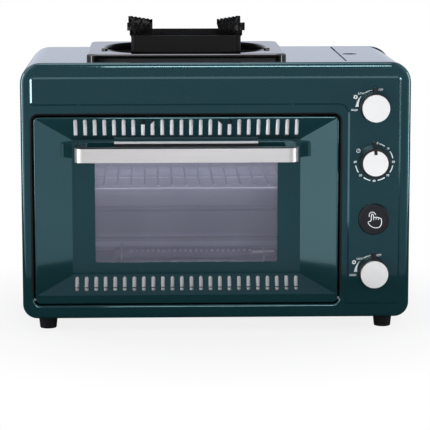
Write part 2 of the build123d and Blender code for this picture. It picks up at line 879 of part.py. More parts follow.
# ---- Door ---------------------------------------------------------------------------
def sunk_frame(inset):
    """The door's hollow: four sloped facets down to the inner flat."""
    rim_face = Plane(origin=(0, face_y + inset, 0), x_dir=(1, 0, 0), z_dir=(0, -1, 0))
    flat_face = Plane(origin=(0, face_y + inset + door_sink, 0), x_dir=(1, 0, 0), z_dir=(0, -1, 0))
    outer = rect_between(door_left + door_rim, door_right - door_rim, door_base + door_sill,
                         door_top - door_rim)
    inner = rect_between(flat_left, flat_right, flat_base, flat_top)
    return loft([flat_face * inner, rim_face * outer])


def rect_between(x0, x1, z0, z1):
    return Pos((x0 + x1) / 2, (z0 + z1) / 2) * Rectangle(x1 - x0, z1 - z0)


def door_form(inset):
    form = slab(door_outline(-inset), inset, door_flange + inset)
    form = fillet(front_edges(form), door_rim_round - inset)
    return form - sunk_frame(inset)


def slot_row(z, length):
    first = door_centre - slot_pitch * (slot_count - 1) / 2
    slot = Rot(0, 0, 90) * SlotOverall(length, slot_width)
    return Sketch() + [Pos(first + i * slot_pitch, z) * slot for i in range(slot_count)]


def window_outline(grow):
    half = window_width / 2 + grow
    return rounded(door_centre - half, door_centre + half, window_base - grow,
                   window_base + window_height + grow, window_corner)


def hinge_spans(outward, width):
    """X ranges at both sides of the door, starting a distance outside its side faces."""
    return [(door_left - outward, door_left - outward + width),
            (door_right + outward - width, door_right + outward)]


def door_skin():
    skin = door_form(0) - door_form(door_sheet)
    skin -= slab(slot_row(flat_top + slot_flat_gap + top_slot_length / 2, top_slot_length), 0, flat_depth)
    skin -= slab(slot_row(flat_base - slot_flat_gap - base_slot_length / 2, base_slot_length), 0, flat_depth)
    skin -= slab(window_outline(0), 0, door_flange)
    for x, z in handle_screw_places():
        skin -= rod_y(screw_shank + screw_clearance, door_sink - past, flat_depth + past, x, z)
    for x0, x1 in hinge_spans(1, 1 + door_corner):
        skin -= rod_x(pin_radius + fit_gap, x0, x1, pin_depth, pin_z)
    return skin


def door_liner():
    """Inner panel with a flange forward into the skin and an opening behind the window."""
    liner = slab(door_outline(-door_sheet), liner_depth - liner_flange, liner_depth + liner_sheet)
    liner -= slab(door_outline(-door_sheet - liner_sheet), liner_depth - liner_flange, liner_depth)
    return liner - slab(window_outline(liner_window_gap), liner_depth - past,
                        liner_depth + liner_sheet + past)


def door_glass():
    pane = slab(window_outline(glass_margin), glass_front, liner_depth)
    return chamfer(front_edges(pane), glass_thickness / 10)


def glass_clamp():
    """Bar over the glass's top edge, with a long bevel along its top."""
    z1 = flat_top - clamp_drop
    reach = window_width / 2 - clamp_side
    bar = block(door_centre - reach, door_centre + reach, door_sink - clamp_thickness, door_sink,
                z1 - clamp_height, z1)
    bevel = front_edges(bar).sort_by(Axis.Z)[-1]
    return chamfer(bevel, clamp_bevel)


def glass_brackets():
    """Two brackets under the liner's top flange, each with a tongue down to the glass's top edge."""
    glass_edge = window_base + window_height + glass_margin
    head_top = door_top - door_sheet - liner_sheet
    head_base = head_top - glass_bracket_head
    half = glass_bracket_width / 2
    brackets = []
    for side in (-1, 1):
        x = door_centre + side * glass_bracket_spacing / 2
        outer, inner = x + side * glass_bracket_outward, x - side * glass_bracket_inward
        tongue_out, tongue_in = x + side * half, x - side * half
        outline = make_face(Polyline((outer, head_top), (outer, head_base), (tongue_out, head_base),
                                     (tongue_out, glass_edge), (tongue_in, glass_edge),
                                     (tongue_in, head_base), (inner, head_top), close=True))
        bracket = slab(outline, liner_depth - glass_bracket_sheet, liner_depth)
        bracket += block(min(outer, inner), max(outer, inner), liner_depth - liner_flange, liner_depth,
                         head_top - glass_bracket_sheet, head_top)
        brackets.append(bracket + block(x - half, x + half, glass_front, liner_depth, glass_edge,
                                        glass_edge + glass_bracket_sheet))
    return group(brackets)


strap_top = flat_top - handle_drop
strap_base = strap_top - handle_height
strap_front = -front_reach
post_front = strap_front + strap_return


def grip_outline(inset):
    """Plan of the handle: a bar with rounded front corners, in X and depth."""
    half = handle_length / 2 - inset
    d0 = strap_front + inset
    plan = Pos(door_centre, (d0 + post_front) / 2) * Rectangle(2 * half, post_front - d0)
    return fillet(plan.vertices().group_by(Axis.Y)[0], strap_bend - inset)


def handle_strap():
    """Bright strip bent round the front and both ends of the core."""
    return sheet_of(grip_outline(0) - grip_outline(strap_thickness), strap_base, strap_top)


def handle_core():
    return sheet_of(grip_outline(strap_thickness), strap_base, strap_top + core_rise)


def post_centres():
    reach = handle_length / 2 - strap_thickness - post_width / 2
    return (door_centre - reach, door_centre + reach)


def handle_screw_places():
    middle = (strap_base + strap_top) / 2
    return [(x, middle + side * post_screw_spacing / 2) for x in post_centres() for side in (-1, 1)]


def handle_posts():
    posts = []
    for x in post_centres():
        post = block(x - post_width / 2, x + post_width / 2, post_front, door_sink, strap_base,
                     strap_top + core_rise)
        posts.append(fillet(post.edges().filter_by(Axis.Y), post_round))
    bores = [rod_y(screw_shank, door_sink - screw_length, door_sink + past, x, z)
             for x, z in handle_screw_places()]
    return group(post - bores for post in posts)


def handle_screws():
    return group(screw(x, flat_depth, z, (0, -1, 0)) for x, z in handle_screw_places())


def door_pins():
    """Fixed pins at the door's lower corners."""
    length = pin_tail * 2 + hinge_plate * 2 + panel_sheet + door_gap + door_sheet
    outward = door_gap + panel_sheet + hinge_plate + pin_tail
    return group(rod_x(pin_radius, x0, x1, pin_depth, pin_z) for x0, x1 in hinge_spans(outward, length))


def pin_brackets():
    """Plates against the opening's flange, inside the casing, that hold the pins."""
    outward = door_gap + panel_sheet + hinge_plate
    room = front_form(panel_sheet)
    plates = []
    for x0, x1 in hinge_spans(outward, hinge_plate):
        plate = block(x0, x1, panel_sheet, panel_sheet + pin_bracket_depth, door_base,
                      door_base + hinge_plate_height) & room
        plates.append(plate - rod_x(pin_radius + pin_running, x0 - past, x1 + past, pin_depth, pin_z))
    return group(plates)


def hinge_plates():
    """Bored plates inside the door's side flanges."""
    room = door_form(door_sheet)
    plates = []
    for x0, x1 in hinge_spans(-door_sheet, hinge_plate):
        plate = block(x0, x1, door_sheet, door_sheet + hinge_plate_depth, door_base,
                      door_base + hinge_plate_height) & room
        plates.append(plate - rod_x(pin_radius + pin_running, x0 - past, x1 + past, pin_depth, pin_z))
    return group(plates)


# ---- Stove --------------------------------------------------------------------------
def tray_outline(inset):
    return Pos(tray_x, tray_centre_depth) * RectangleRounded(tray_width - 2 * inset, tray_depth - 2 * inset,
                                                            tray_corner - inset)


def recess(inset):
    """The tray's sunk well, with sloped sides."""
    recess_width = tray_width - 2 * recess_side
    recess_depth = tray_depth - 2 * recess_front
    y = face_y + tray_centre_depth
    mouth = Pos(tray_x, y, tray_top - inset) * SlotOverall(recess_width, recess_depth)
    floor = Pos(tray_x, y, recess_floor - inset) * SlotOverall(
        recess_width - 2 * recess_slope, recess_depth - 2 * recess_slope)
    return loft([floor, mouth])


def tray_form(inset):
    form = sheet_of(tray_outline(inset), top_z - inset, tray_top - inset)
    form = fillet(top_edges(form), tray_round - inset)
    return form - recess(inset)


def drip_tray():
    tray = tray_form(0) - tray_form(tray_sheet)
    tray -= rod_z(tray_hole, top_z, tray_top + past, tray_x, tray_centre_depth)
    for x, d in tray_screw_places():
        tray -= rod_z(screw_shank + screw_clearance, top_z, tray_top + past, x, d)
    return tray


def burner_base():
    """Cup under the cover with a flange on it and a mixing tube towards the controls."""
    base = rod_z(base_cup_radius, top_z - base_cup_height, top_z, tray_x, tray_centre_depth)
    base += rod_z(base_flange, top_z, top_z + base_flange_thickness, tray_x, tray_centre_depth)
    base += rod_y(mixing_tube, mixing_front, tray_centre_depth, tray_x, mixing_z)
    base -= rod_z(base_cup_radius - base_cup_wall, top_z - base_cup_height + base_cup_wall,
                  top_z + base_flange_thickness + past, tray_x, tray_centre_depth)
    base -= rod_y(mixing_tube - mixing_wall, mixing_front - past, tray_centre_depth, tray_x, mixing_z)
    x, d = stove_electrode_place()
    return base - rod_z(stove_electrode_ceramic + screw_clearance, top_z - past,
                        top_z + base_flange_thickness + past, x, d)


def burner_head():
    """Ring with a narrower neck and radial ports round its rim."""
    z0 = top_z + base_flange_thickness
    z1 = top_z + head_top
    profile = Polyline((head_bore, z0), (head_neck, z0), (head_neck, z0 + head_foot),
                       (head_radius, z1 - head_flare), (head_radius, z1), (head_bore, z1), close=True)
    ring = revolve(make_face(Plane.XZ * profile), Axis.Z)
    port = Pos((head_radius + head_bore) / 2, 0, z1 - head_port_height / 2) * Box(
        head_radius - head_bore + 2 * past, head_port_width, head_port_height)
    ring -= [Rot(0, 0, i * 360 / head_ports) * port for i in range(head_ports)]
    return Pos(tray_x, face_y + tray_centre_depth, 0) * ring


def burner_cap():
    z0 = top_z + head_top
    disc = Pos(0, 0, z0 + cap_height / 2) * Cylinder(cap_radius, cap_height)
    disc = fillet(top_edges(disc), cap_round)
    spigot = Pos(0, 0, z0 - cap_spigot / 2) * Cylinder(head_bore - spigot_clearance, cap_spigot)
    return Pos(tray_x, face_y + tray_centre_depth, 0) * (disc + spigot)


def stove_electrode_place():
    angle = radians(stove_electrode_angle)
    return (tray_x + stove_electrode_radius * cos(angle),
            tray_centre_depth + stove_electrode_radius * sin(angle))


def stove_electrode():
    """Ceramic rod through the burner's flange with a wire tip."""
    x, d = stove_electrode_place()
    z1 = top_z + stove_electrode_top
    rod = rod_z(stove_electrode_ceramic, z1 - stove_electrode_length, z1, x, d)
    rod = fillet(top_edges(rod), stove_electrode_ceramic / 2)
    collar = rod_z(stove_electrode_ceramic * 2, top_z - base_flange_thickness, top_z, x, d)
    return rod + collar + rod_z(electrode_wire, z1 - past, z1 + stove_electrode_wire, x, d)


def shield_outline(grow):
    return Pos(tray_x, tray_centre_depth) * RectangleRounded(
        shield_width + 2 * grow, shield_depth + 2 * grow, shield_corner + grow)


def windshield():
    """Four-sided sheet with a hemmed rim, standing on the tray's floor."""
    wall = sheet_of(shield_outline(0) - shield_outline(-shield_sheet), recess_floor, shield_rim)
    hem = shield_outline(shield_hem) - shield_outline(-shield_sheet - shield_hem)
    return wall + sheet_of(hem, shield_rim - shield_hem_height, shield_rim)


def pan_arm(side, end):
    """Channel across a corner of the shield, toothed along both edges, with two legs on the shield's rim."""
    low = shield_rim + arm_low
    high = shield_rim + arm_high
    profile = make_face(Polyline((0, low), (arm_length, low), (arm_length, high - arm_fall), (0, high),
                                 close=True))
    foot = arm_overhang + shield_sheet / 2
    legs = [Pos(foot, (shield_rim + low) / 2) * Rectangle(arm_leg, arm_low)]
    for i in range(1, lower_tooth_count + 1):
        s = foot + i * tooth_pitch
        legs.append(make_face(Polyline((s - lower_tooth_width / 2, low), (s, shield_rim + lower_tooth_gap),
                                       (s + lower_tooth_width / 2, low), close=True)))
    notches = []
    for i in range(tooth_count):
        s = tooth_start + i * tooth_pitch
        z = high - arm_fall * s / arm_length
        notches.append(make_face(Polyline((s - tooth_width / 2, z + past), (s, z - tooth_depth),
                                          (s + tooth_width / 2, z + past), close=True)))
    upright = Plane(origin=(0, arm_width / 2, 0), x_dir=(1, 0, 0), z_dir=(0, -1, 0))
    arm = extrude(upright * (profile + legs), arm_width) - extrude(upright * (Sketch() + notches), arm_width)
    hollow = arm_width - 2 * arm_sheet
    z_mid = low + arm_sheet + arm_high / 2
    arm -= Pos(arm_sheet + arm_length / 2, 0, z_mid) * Box(arm_length, hollow, arm_high)
    arm -= Pos(arm_length / 2, 0, (shield_rim + low) / 2) * Box(arm_length, hollow, arm_low)
    corner = shield_corner * (1 - cos(radians(45)))
    reach = arm_overhang * cos(radians(45))
    x = tray_x + side * (shield_width / 2 - corner + reach)
    y = face_y + tray_centre_depth + end * (shield_depth / 2 - corner + reach)
    turn = {(1, 1): 225, (-1, 1): 315, (-1, -1): 45, (1, -1): 135}[side, end]
    return Pos(x, y, 0) * Rot(0, 0, turn) * arm


# ---- Controls -----------------------------------------------------------------------
cap_front = -front_reach
knob_back = plateau - knob_gap
knob_front = cap_front + cap_thickness


def skirt_pointer(z):
    """Tapered pointer at twelve o'clock, as thick as the knob's skirt."""
    z1 = z + knob_skirt + pointer_reach
    outline = make_face(Polyline((control_x - pointer_base / 2, z), (control_x - pointer_end / 2, z1),
                                 (control_x + pointer_end / 2, z1), (control_x + pointer_base / 2, z),
                                 close=True))
    return slab(outline, knob_back - knob_skirt_height, knob_back)


def knob_body(z):
    """Dark knob with a skirt, a pointer on the skirt and its spindle."""
    knob = rod_y(knob_radius, knob_front, knob_back, control_x, z)
    knob = fillet(front_edges(knob), knob_round / 2)
    skirt = rod_y(knob_skirt, knob_back - knob_skirt_height, knob_back, control_x, z)
    knob += fillet(front_edges(skirt), knob_round / 2)
    return knob + skirt_pointer(z) + rod_y(spindle_radius, knob_back, spindle_length, control_x, z)


def knob_cap(z):
    cap = rod_y(knob_cap_radius, cap_front, knob_front, control_x, z)
    return fillet(front_edges(cap), knob_round)


def stove_knob():
    return knob_body(stove_z)


def stove_cap():
    return knob_cap(stove_z)


def oven_knob():
    return knob_body(oven_z)


def oven_cap():
    return knob_cap(oven_z)


def timer_knob():
    """Dark knob with a round pocket for its pale cap and a pointer that fills the cap's notch."""
    knob = rod_y(knob_skirt, cap_front + knob_round, knob_back, control_x, timer_z)
    knob = fillet(front_edges(knob), knob_round / 2)
    knob -= rod_y(timer_cap_radius, cap_front, cap_front + knob_round + timer_cap_sunk, control_x, timer_z)
    pointer = block(control_x - pointer_width / 2, control_x + pointer_width / 2, cap_front + knob_round,
                    cap_front + knob_round + timer_cap_sunk, timer_z + timer_cap_radius - notch_length,
                    timer_z + timer_cap_radius + knob_round)
    pointer += skirt_pointer(timer_z)
    return knob + pointer + rod_y(spindle_radius, knob_back, spindle_length, control_x, timer_z)


def timer_cap():
    cap = rod_y(timer_cap_radius, cap_front, cap_front + knob_round + timer_cap_sunk, control_x, timer_z)
    cap = fillet(front_edges(cap), knob_round / 2)
    return cap - block(control_x - pointer_width / 2, control_x + pointer_width / 2, cap_front, 0,
                       timer_z + timer_cap_radius - notch_length, timer_z + knob_skirt)


def flame_button():
    """Round push button: a cup with a shallow dish in its face and a stem behind."""
    front = plateau - button_proud
    cup = rod_y(button_radius, front, front + button_skirt, control_x, button_z)
    cup = fillet(front_edges(cup), button_round)
    cup -= rod_y(button_radius - button_wall, front + button_wall, front + button_skirt + past, control_x,
                 button_z)
    dish_radius = button_radius - 2 * button_round
    cup -= rod_y(dish_radius, front - past, front + button_dish, control_x, button_z)
    return cup + rod_y(button_stem, front + button_wall, stem_reach, control_x, button_z)


def hexagon(x, z, across, d0, d1):
    return slab(Pos(x, z) * RegularPolygon(across / 2, 6, major_radius=False), d0, d1)


def valve_body(z, back):
    """Gas valve behind a knob, with its outlet towards the oven."""
    front = plateau + panel_sheet
    body = hexagon(control_x, z, valve_hex, front, front + valve_hex_depth)
    body += rod_y(valve_radius, front, back, control_x, z)
    body += rod_x(valve_outlet, control_x - valve_outlet_reach, control_x, valve_outlet_depth, z)
    depth = spindle_length + fit_gap
    return body - rod_y(spindle_radius + spindle_running, front - past, depth, control_x, z)


def stove_valve():
    return valve_body(stove_z, regulator_depth)


def oven_valve():
    return valve_body(oven_z, oven_valve_depth)


def timer_body():
    """Wind-up timer with a bell dome on its back."""
    front = plateau + panel_sheet
    body = rod_y(timer_body_radius, front, timer_body_depth, control_x, timer_z)
    body = fillet(body.faces().sort_by(Axis.Y)[-1].edges(), knob_round * 2)
    bell = rod_y(timer_bell_radius, timer_body_depth, timer_body_depth + timer_bell_depth, control_x, timer_z)
    body += fillet(bell.faces().sort_by(Axis.Y)[-1].edges(), timer_bell_depth / 2)
    return body - rod_y(spindle_radius + spindle_running, front - past, spindle_length + fit_gap, control_x,
                        timer_z)


def safety_valve():
    """Flame safety valve on a plate from the partition; the button's stem enters its front."""
    valve = rod_y(safety_radius, safety_front, safety_back, control_x, button_z)
    valve += block(partition_x + partition_sheet, control_x, safety_plate_depth,
                   safety_plate_depth + safety_plate, button_z - safety_plate_height / 2,
                   button_z + safety_plate_height / 2)
    bore_end = stem_reach + button_travel + fit_gap
    return valve - rod_y(button_stem + spindle_running, safety_front - past, bore_end, control_x, button_z)


# ---- Cartridge bay and gas pipes ----------------------------------------------------
def bay_partition():
    """Wall between oven and cartridge bay, with the ledge that the lid's edge stops over."""
    ledge_top = top_z - panel_sheet - lid_flange - fit_gap
    x1 = partition_x + partition_sheet
    back = body_depth - partition_front
    wall = block(partition_x, x1, partition_front, back, base_z + panel_sheet, top_z - panel_sheet)
    wall += block(partition_x, x1 + ledge_width, partition_front, back, ledge_top - partition_sheet,
                  ledge_top)
    return wall - block(partition_x, x1, partition_front, partition_front + pipe_bend / 2,
                        oven_z - 2 * pipe_radius, oven_z + 2 * pipe_radius)


def gas_regulator():
    """Round housing with a nozzle at its back that takes the cartridge's valve."""
    back = regulator_depth + regulator_length
    housing = rod_y(regulator_radius, regulator_depth, back, cartridge_x, cartridge_z)
    housing = fillet(housing.edges().filter_by(GeomType.CIRCLE), regulator_round)
    housing += rod_y(nozzle_radius, back, back + nozzle_length, cartridge_x, cartridge_z)
    return housing - rod_y(socket_radius, back + nozzle_length - socket_depth, back + nozzle_length + past,
                           cartridge_x, cartridge_z)


def cartridge_cradle():
    """Trough under the cartridge, with a flange on the partition and a leg to the side panel."""
    inner = cartridge_radius + cartridge_clearance
    outer = inner + cradle_sheet
    half = radians(cradle_angle / 2)
    wedge = make_face(Polyline((0, 0), (-2 * outer * sin(half), -2 * outer * cos(half)), (0, -3 * outer),
                               (2 * outer * sin(half), -2 * outer * cos(half)), close=True))
    trough = (Circle(outer) - Circle(inner)) & wedge
    cradle = slab(Pos(cartridge_x, cartridge_z) * trough, cradle_front, cradle_back)
    lip_z = cartridge_z - outer * cos(half)
    lip_x = cartridge_x - outer * sin(half)
    x0 = partition_x + partition_sheet
    cradle += block(x0, lip_x + cradle_sheet, cradle_front, cradle_back, lip_z, lip_z + cradle_sheet)
    cradle += block(x0, x0 + cradle_sheet, cradle_front, cradle_back, lip_z - cradle_foot,
                    lip_z + cradle_sheet)
    trough_base = cartridge_z - outer
    leg_base = trough_base - cradle_leg
    x1 = right - panel_sheet
    cradle += block(cartridge_x - cradle_sheet, cartridge_x, cradle_front, cradle_back, leg_base,
                    trough_base + cradle_sheet)
    cradle += block(cartridge_x - cradle_sheet, x1, cradle_front, cradle_back, leg_base,
                    leg_base + cradle_sheet)
    return cradle + block(x1 - cradle_sheet, x1, cradle_front, cradle_back, leg_base - cradle_foot,
                          leg_base + cradle_sheet)


def stove_pipe():
    """From the stove valve's outlet, in front of the partition, to the mixing tube."""
    x0 = control_x - valve_outlet_reach
    return pipe([(x0, valve_outlet_depth, stove_z), (partition_x - supply_drop, valve_outlet_depth, stove_z),
                 (cavity_right, valve_outlet_depth, mixing_z), (tray_x, valve_outlet_depth, mixing_z),
                 (tray_x, mixing_front + pipe_radius, mixing_z)], pipe_bend)


def supply_pipe():
    """From the regulator down to the safety valve, its ends coped to both round housings."""
    start_depth = regulator_depth + regulator_length / 2
    end_depth = safety_back - 2 * pipe_radius
    run = pipe([(cartridge_x, start_depth, cartridge_z), (cartridge_x, start_depth, timer_z),
                (cartridge_x, end_depth, button_z)], pipe_bend)
    run -= rod_y(regulator_radius, regulator_depth, regulator_depth + regulator_length, cartridge_x,
                 cartridge_z)
    return run - rod_y(safety_radius, safety_front, safety_back, control_x, button_z)


def oven_pipe():
    """From the oven valve's outlet to the injector at the burner's open end."""
    x0 = control_x - valve_outlet_reach
    middle = (burner_right + partition_x) / 2
    run = pipe([(x0, valve_outlet_depth, oven_z), (middle, valve_outlet_depth, oven_z),
                (middle, burner_depth, oven_z)], pipe_bend)
    return run + rod_x(injector_radius, burner_right - injector_length, middle, burner_depth, burner_z)


makers = [front_panel, top_cover, right_side_panel, base_pan, back_panel, feet, case_screws, canister_lid,
          lid_hinge_pin, bay_partition, cartridge_cradle, gas_regulator, cavity_left_wall,
          cavity_right_wall, cavity_roof, cavity_floor, cavity_back_wall, cavity_frame, wire_rack,
          oven_burner, burner_bracket, electrode_bracket, oven_electrode, thermocouple, door_skin,
          door_liner, door_glass, glass_clamp, glass_brackets, handle_strap, handle_core, handle_posts,
          handle_screws, door_pins, pin_brackets, hinge_plates, drip_tray, burner_base, burner_head,
          burner_cap, stove_electrode, windshield, stove_knob, stove_cap, timer_knob, timer_cap,
          oven_knob, oven_cap, flame_button, stove_valve, oven_valve, timer_body, safety_valve,
          stove_pipe, supply_pipe, oven_pipe]
for make in makers:
    export_step(make(), f"parts/{make.__name__}.step")

for end, end_name in ((-1, "front"), (1, "back")):
    for side, side_name in ((-1, "left"), (1, "right")):
        export_step(pan_arm(side, end), f"parts/pan_arm_{end_name}_{side_name}.step")
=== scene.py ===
"""Looks for a portable gas oven with a stove burner on top."""
from math import cos, pi, radians, sin

import bmesh
import bpy
from mathutils import Matrix, Vector


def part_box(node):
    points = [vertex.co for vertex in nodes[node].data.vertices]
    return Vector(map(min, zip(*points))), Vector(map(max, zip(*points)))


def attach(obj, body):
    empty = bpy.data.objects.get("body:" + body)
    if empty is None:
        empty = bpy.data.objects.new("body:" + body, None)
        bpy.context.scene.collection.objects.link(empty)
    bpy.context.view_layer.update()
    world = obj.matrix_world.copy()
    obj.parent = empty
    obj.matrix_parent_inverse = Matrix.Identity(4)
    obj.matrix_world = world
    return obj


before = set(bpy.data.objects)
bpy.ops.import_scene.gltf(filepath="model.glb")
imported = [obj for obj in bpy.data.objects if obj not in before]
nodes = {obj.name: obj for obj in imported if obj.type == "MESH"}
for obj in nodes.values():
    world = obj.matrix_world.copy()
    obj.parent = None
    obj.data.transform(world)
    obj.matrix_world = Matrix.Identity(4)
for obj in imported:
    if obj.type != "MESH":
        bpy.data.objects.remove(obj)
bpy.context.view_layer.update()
MM = 0.001
strip_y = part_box("front_panel")[0].y


# ---- Shader nodes -------------------------------------------------------------------
class Signal:
    """A node's output that can be used in arithmetic; each operation adds a Math node."""

    def __init__(self, finish, socket):
        self.finish = finish
        self.socket = socket

    def math(self, operation, first, second):
        """One Math node on two values."""
        return self.finish.node("ShaderNodeMath", {"operation": operation}, {0: first, 1: second})

    def __add__(self, other):
        return self.math("ADD", self, other)

    def __radd__(self, other):
        return self.math("ADD", other, self)

    def __sub__(self, other):
        return self.math("SUBTRACT", self, other)

    def __rsub__(self, other):
        return self.math("SUBTRACT", other, self)

    def __mul__(self, other):
        return self.math("MULTIPLY", self, other)

    def __rmul__(self, other):
        return self.math("MULTIPLY", other, self)

    def __truediv__(self, other):
        return self.math("DIVIDE", self, other)

    def __pow__(self, other):
        return self.math("POWER", self, other)

    def __abs__(self):
        return self.finish.node("ShaderNodeMath", {"operation": "ABSOLUTE"}, {0: self})


class NodeTree:
    """A tree of nodes, for a finish or for a pattern of repeated forms."""

    def __init__(self, tree):
        self.tree = tree
        self.tree.nodes.clear()

    def node(self, kind, settings=None, inputs=None, output=0):
        """Adds a node: its settings first, a ramp's stops among them, then its sockets' values or links."""
        made = self.tree.nodes.new(kind)
        for name, value in (settings or {}).items():
            if name == "stops":
                self.set_stops(made.color_ramp, value)
            else:
                setattr(made, name, value)
        for name, value in (inputs or {}).items():
            if isinstance(value, Signal):
                self.tree.links.new(value.socket, made.inputs[name])
            else:
                made.inputs[name].default_value = value
        return Signal(self, made.outputs[output]) if made.outputs else made

    @staticmethod
    def set_stops(ramp, stops):
        """Gives a colour ramp its stops, each a place and a colour."""
        while len(ramp.elements) < len(stops):
            ramp.elements.new(1.0)
        for element, (place, colour) in zip(ramp.elements, stops):
            element.position = place
            element.color = (*colour, 1.0)


class Finish(NodeTree):
    """The nodes of one material or of the world."""

    def __init__(self, name, owner=None):
        self.material = owner or bpy.data.materials.new(name)
        self.material.use_nodes = True
        super().__init__(self.material.node_tree)

    def coordinates(self, stretch=(1.0, 1.0, 1.0)):
        """Places on the part, which a stretch draws out along an axis."""
        place = self.node("ShaderNodeTexCoord", output="Object")
        return self.node("ShaderNodeMapping", inputs={"Vector": place, "Scale": stretch})

    def along(self, axis):
        """Place along one axis of the part."""
        place = self.node("ShaderNodeTexCoord", output="Object")
        return self.node("ShaderNodeSeparateXYZ", inputs={"Vector": place}, output=axis)

    def rise(self, value, start, end):
        """Grows from 0 to 1 while a value goes from start to end."""
        return self.node("ShaderNodeMapRange", {"clamp": True},
                         {"Value": value, "From Min": start, "From Max": end})

    def band(self, value, start, end, soft):
        """1 while a value is between start and end, with soft edges inside them."""
        return self.rise(value, start, start + soft) * (1.0 - self.rise(value, end - soft, end))

    def larger(self, first, second):
        """The larger of two values."""
        return self.node("ShaderNodeMath", {"operation": "MAXIMUM"}, {0: first, 1: second})

    def noise(self, scale, detail, stretch=(1.0, 1.0, 1.0)):
        """Soft cloudy variation from 0 to 1; a larger scale is a finer one."""
        return self.node("ShaderNodeTexNoise", inputs={
            "Vector": self.coordinates(stretch), "Scale": scale, "Detail": detail})

    def cells(self, scale, output="Color"):
        """A patchwork of cells: a colour for each, or the distance to its middle."""
        return self.node("ShaderNodeTexVoronoi", inputs={"Vector": self.coordinates(), "Scale": scale},
                         output=output)

    def ramp(self, value, *stops):
        """A colour for each level of a value."""
        return self.node("ShaderNodeValToRGB", {"stops": stops}, {"Fac": value})

    def blend(self, factor, first, second):
        """Goes from one colour to another as a factor goes from 0 to 1."""
        return self.node("ShaderNodeMix", {"data_type": "RGBA"}, {0: factor, 6: first, 7: second}, output=2)

    def bump(self, height, depth, strength):
        """Small relief, its depth in metres."""
        return self.node("ShaderNodeBump", inputs={"Height": height, "Distance": depth, "Strength": strength})

    def outside_well(self, middle, half_x, half_y, sharp, soft):
        """1 outside a rounded well, 0 inside it, seen from above; the change is softer at its ends."""
        squareness = 3.0
        softening = 5.0
        across = abs((self.along("X") - middle.x) / half_x)
        deep = abs((self.along("Y") - middle.y) / half_y)
        reach = (across ** squareness + deep ** squareness) ** (1.0 / squareness)
        return self.rise((reach - 1.0) / (sharp + (soft - sharp) * across ** softening), -1.0, 0.0)

    def end(self, shader):
        """Ends the material in this shader."""
        self.node("ShaderNodeOutputMaterial", inputs={"Surface": shader})
        return self.material

    def surface(self, **sockets):
        """Ends in a Principled shader; socket names are written with underscores."""
        inputs = {name.replace("_", " "): value for name, value in sockets.items()}
        return self.end(self.node("ShaderNodeBsdfPrincipled", inputs=inputs))


def rgb(red, green, blue):
    """A display colour, 0 to 255, as the linear colour that a socket takes."""
    def linear(level):
        """One channel of it."""
        share = level / 255
        return share / 12.92 if share < 0.04045 else ((share + 0.055) / 1.055) ** 2.4
    return (linear(red), linear(green), linear(blue), 1.0)


def teal_enamel():
    """Glossy sprayed enamel, its gloss tinted like the paint, with a faint orange peel."""
    look = Finish("teal_enamel")
    drift = look.noise(9.0, 3.0)
    peel = look.noise(420.0, 1.0)
    dust = look.noise(2600.0, 0.0)
    shade = look.blend(drift, rgb(17, 48, 52), rgb(23, 53, 57))
    return look.surface(Base_Color=shade, Roughness=0.05 + 0.03 * drift, Specular_IOR_Level=1.0,
                        Specular_Tint=rgb(176, 242, 255), Coat_Weight=0.4, Coat_Roughness=0.03,
                        Normal=look.bump(peel + 0.15 * dust, 0.00002, 0.3))


def lining_steel():
    """Aluminised sheet inside the oven, with painted light and shade: paler at the top, darker towards the
    burner, a painted highlight band low down, and a crease across it painted as a dark line under a paler
    one.
    """
    look = Finish("lining_steel")
    grain = look.noise(260.0, 4.0, (0.06, 1.0, 1.0))
    bloom = look.noise(22.0, 3.0)
    low, high = 60.0, 160.0
    # Heights above the table in millimetres, each with the paleness painted there: painted light and shade,
    # not the sheet's own colour.
    floor = ((60.0, 0.22), (63.5, 0.24))
    painted_highlight_band = ((66.5, 0.46), (70.5, 0.48), (73.0, 0.28), (76.2, 0.26))
    crease = ((77.2, 0.06), (78.2, 0.3))
    lower_wall = ((80.5, 0.38), (84.0, 0.26), (116.0, 0.27), (119.0, 0.32))
    upper_wall = ((121.0, 0.46), (132.0, 0.54), (158.0, 0.92))
    stops = [((height - low) / (high - low), (0.98 * pale, 0.975 * pale, 1.06 * pale))
             for height, pale in floor + painted_highlight_band + crease + lower_wall + upper_wall]
    painted_light_and_shade = look.ramp(look.rise(look.along("Z"), low * MM, high * MM), *stops)
    shade = look.blend(0.06 * bloom, painted_light_and_shade, rgb(250, 250, 255))
    return look.surface(Base_Color=shade, Metallic=0.1, Roughness=0.34 + 0.2 * grain,
                        Normal=look.bump(grain, 0.00004, 0.4))


def spangled_steel():
    """Galvanised sheet with a crystal pattern."""
    look = Finish("spangled_steel")
    flake = look.cells(90.0)
    level = look.node("ShaderNodeSeparateColor", inputs={"Color": flake})
    shade = look.blend(level, rgb(158, 162, 168), rgb(196, 199, 204))
    return look.surface(Base_Color=shade, Metallic=0.7, Roughness=0.32 + 0.2 * level,
                        Normal=look.bump(look.noise(700.0, 2.0), 0.00003, 0.4))


def liner_steel():
    """Pale coated sheet behind the door's slots, dark where its folds leave it out of the light."""
    look = Finish("liner_steel")
    bloom = look.noise(30.0, 2.0)
    height = look.along("Z")
    # Heights above the table, in millimetres, between which a fold lies in the dark.
    top_fold = (236.0, 243.6)
    sill_folds = ((80.0, 88.5), (50.4, 51.9), (42.0, 47.6))
    folds = look.band(height, top_fold[0] * MM, top_fold[1] * MM, 1.2 * MM)
    for start, end in sill_folds:
        folds = folds + look.band(height, start * MM, end * MM, 0.3 * MM)
    outer_face = strip_y + 22.6 * MM
    outside = 1.0 - look.rise(look.along("Y"), outer_face, outer_face + 0.2 * MM)
    coating = look.blend(bloom, rgb(246, 246, 252), rgb(252, 252, 254))
    shade = look.blend(folds * outside, coating, rgb(26, 24, 34))
    return look.surface(Base_Color=shade, Metallic=0.1 + 0.6 * look.rise(height, 100.0 * MM, 200.0 * MM),
                        Roughness=0.3 + 0.1 * bloom,
                        Normal=look.bump(look.noise(900.0, 1.0), 0.00003, 0.3))


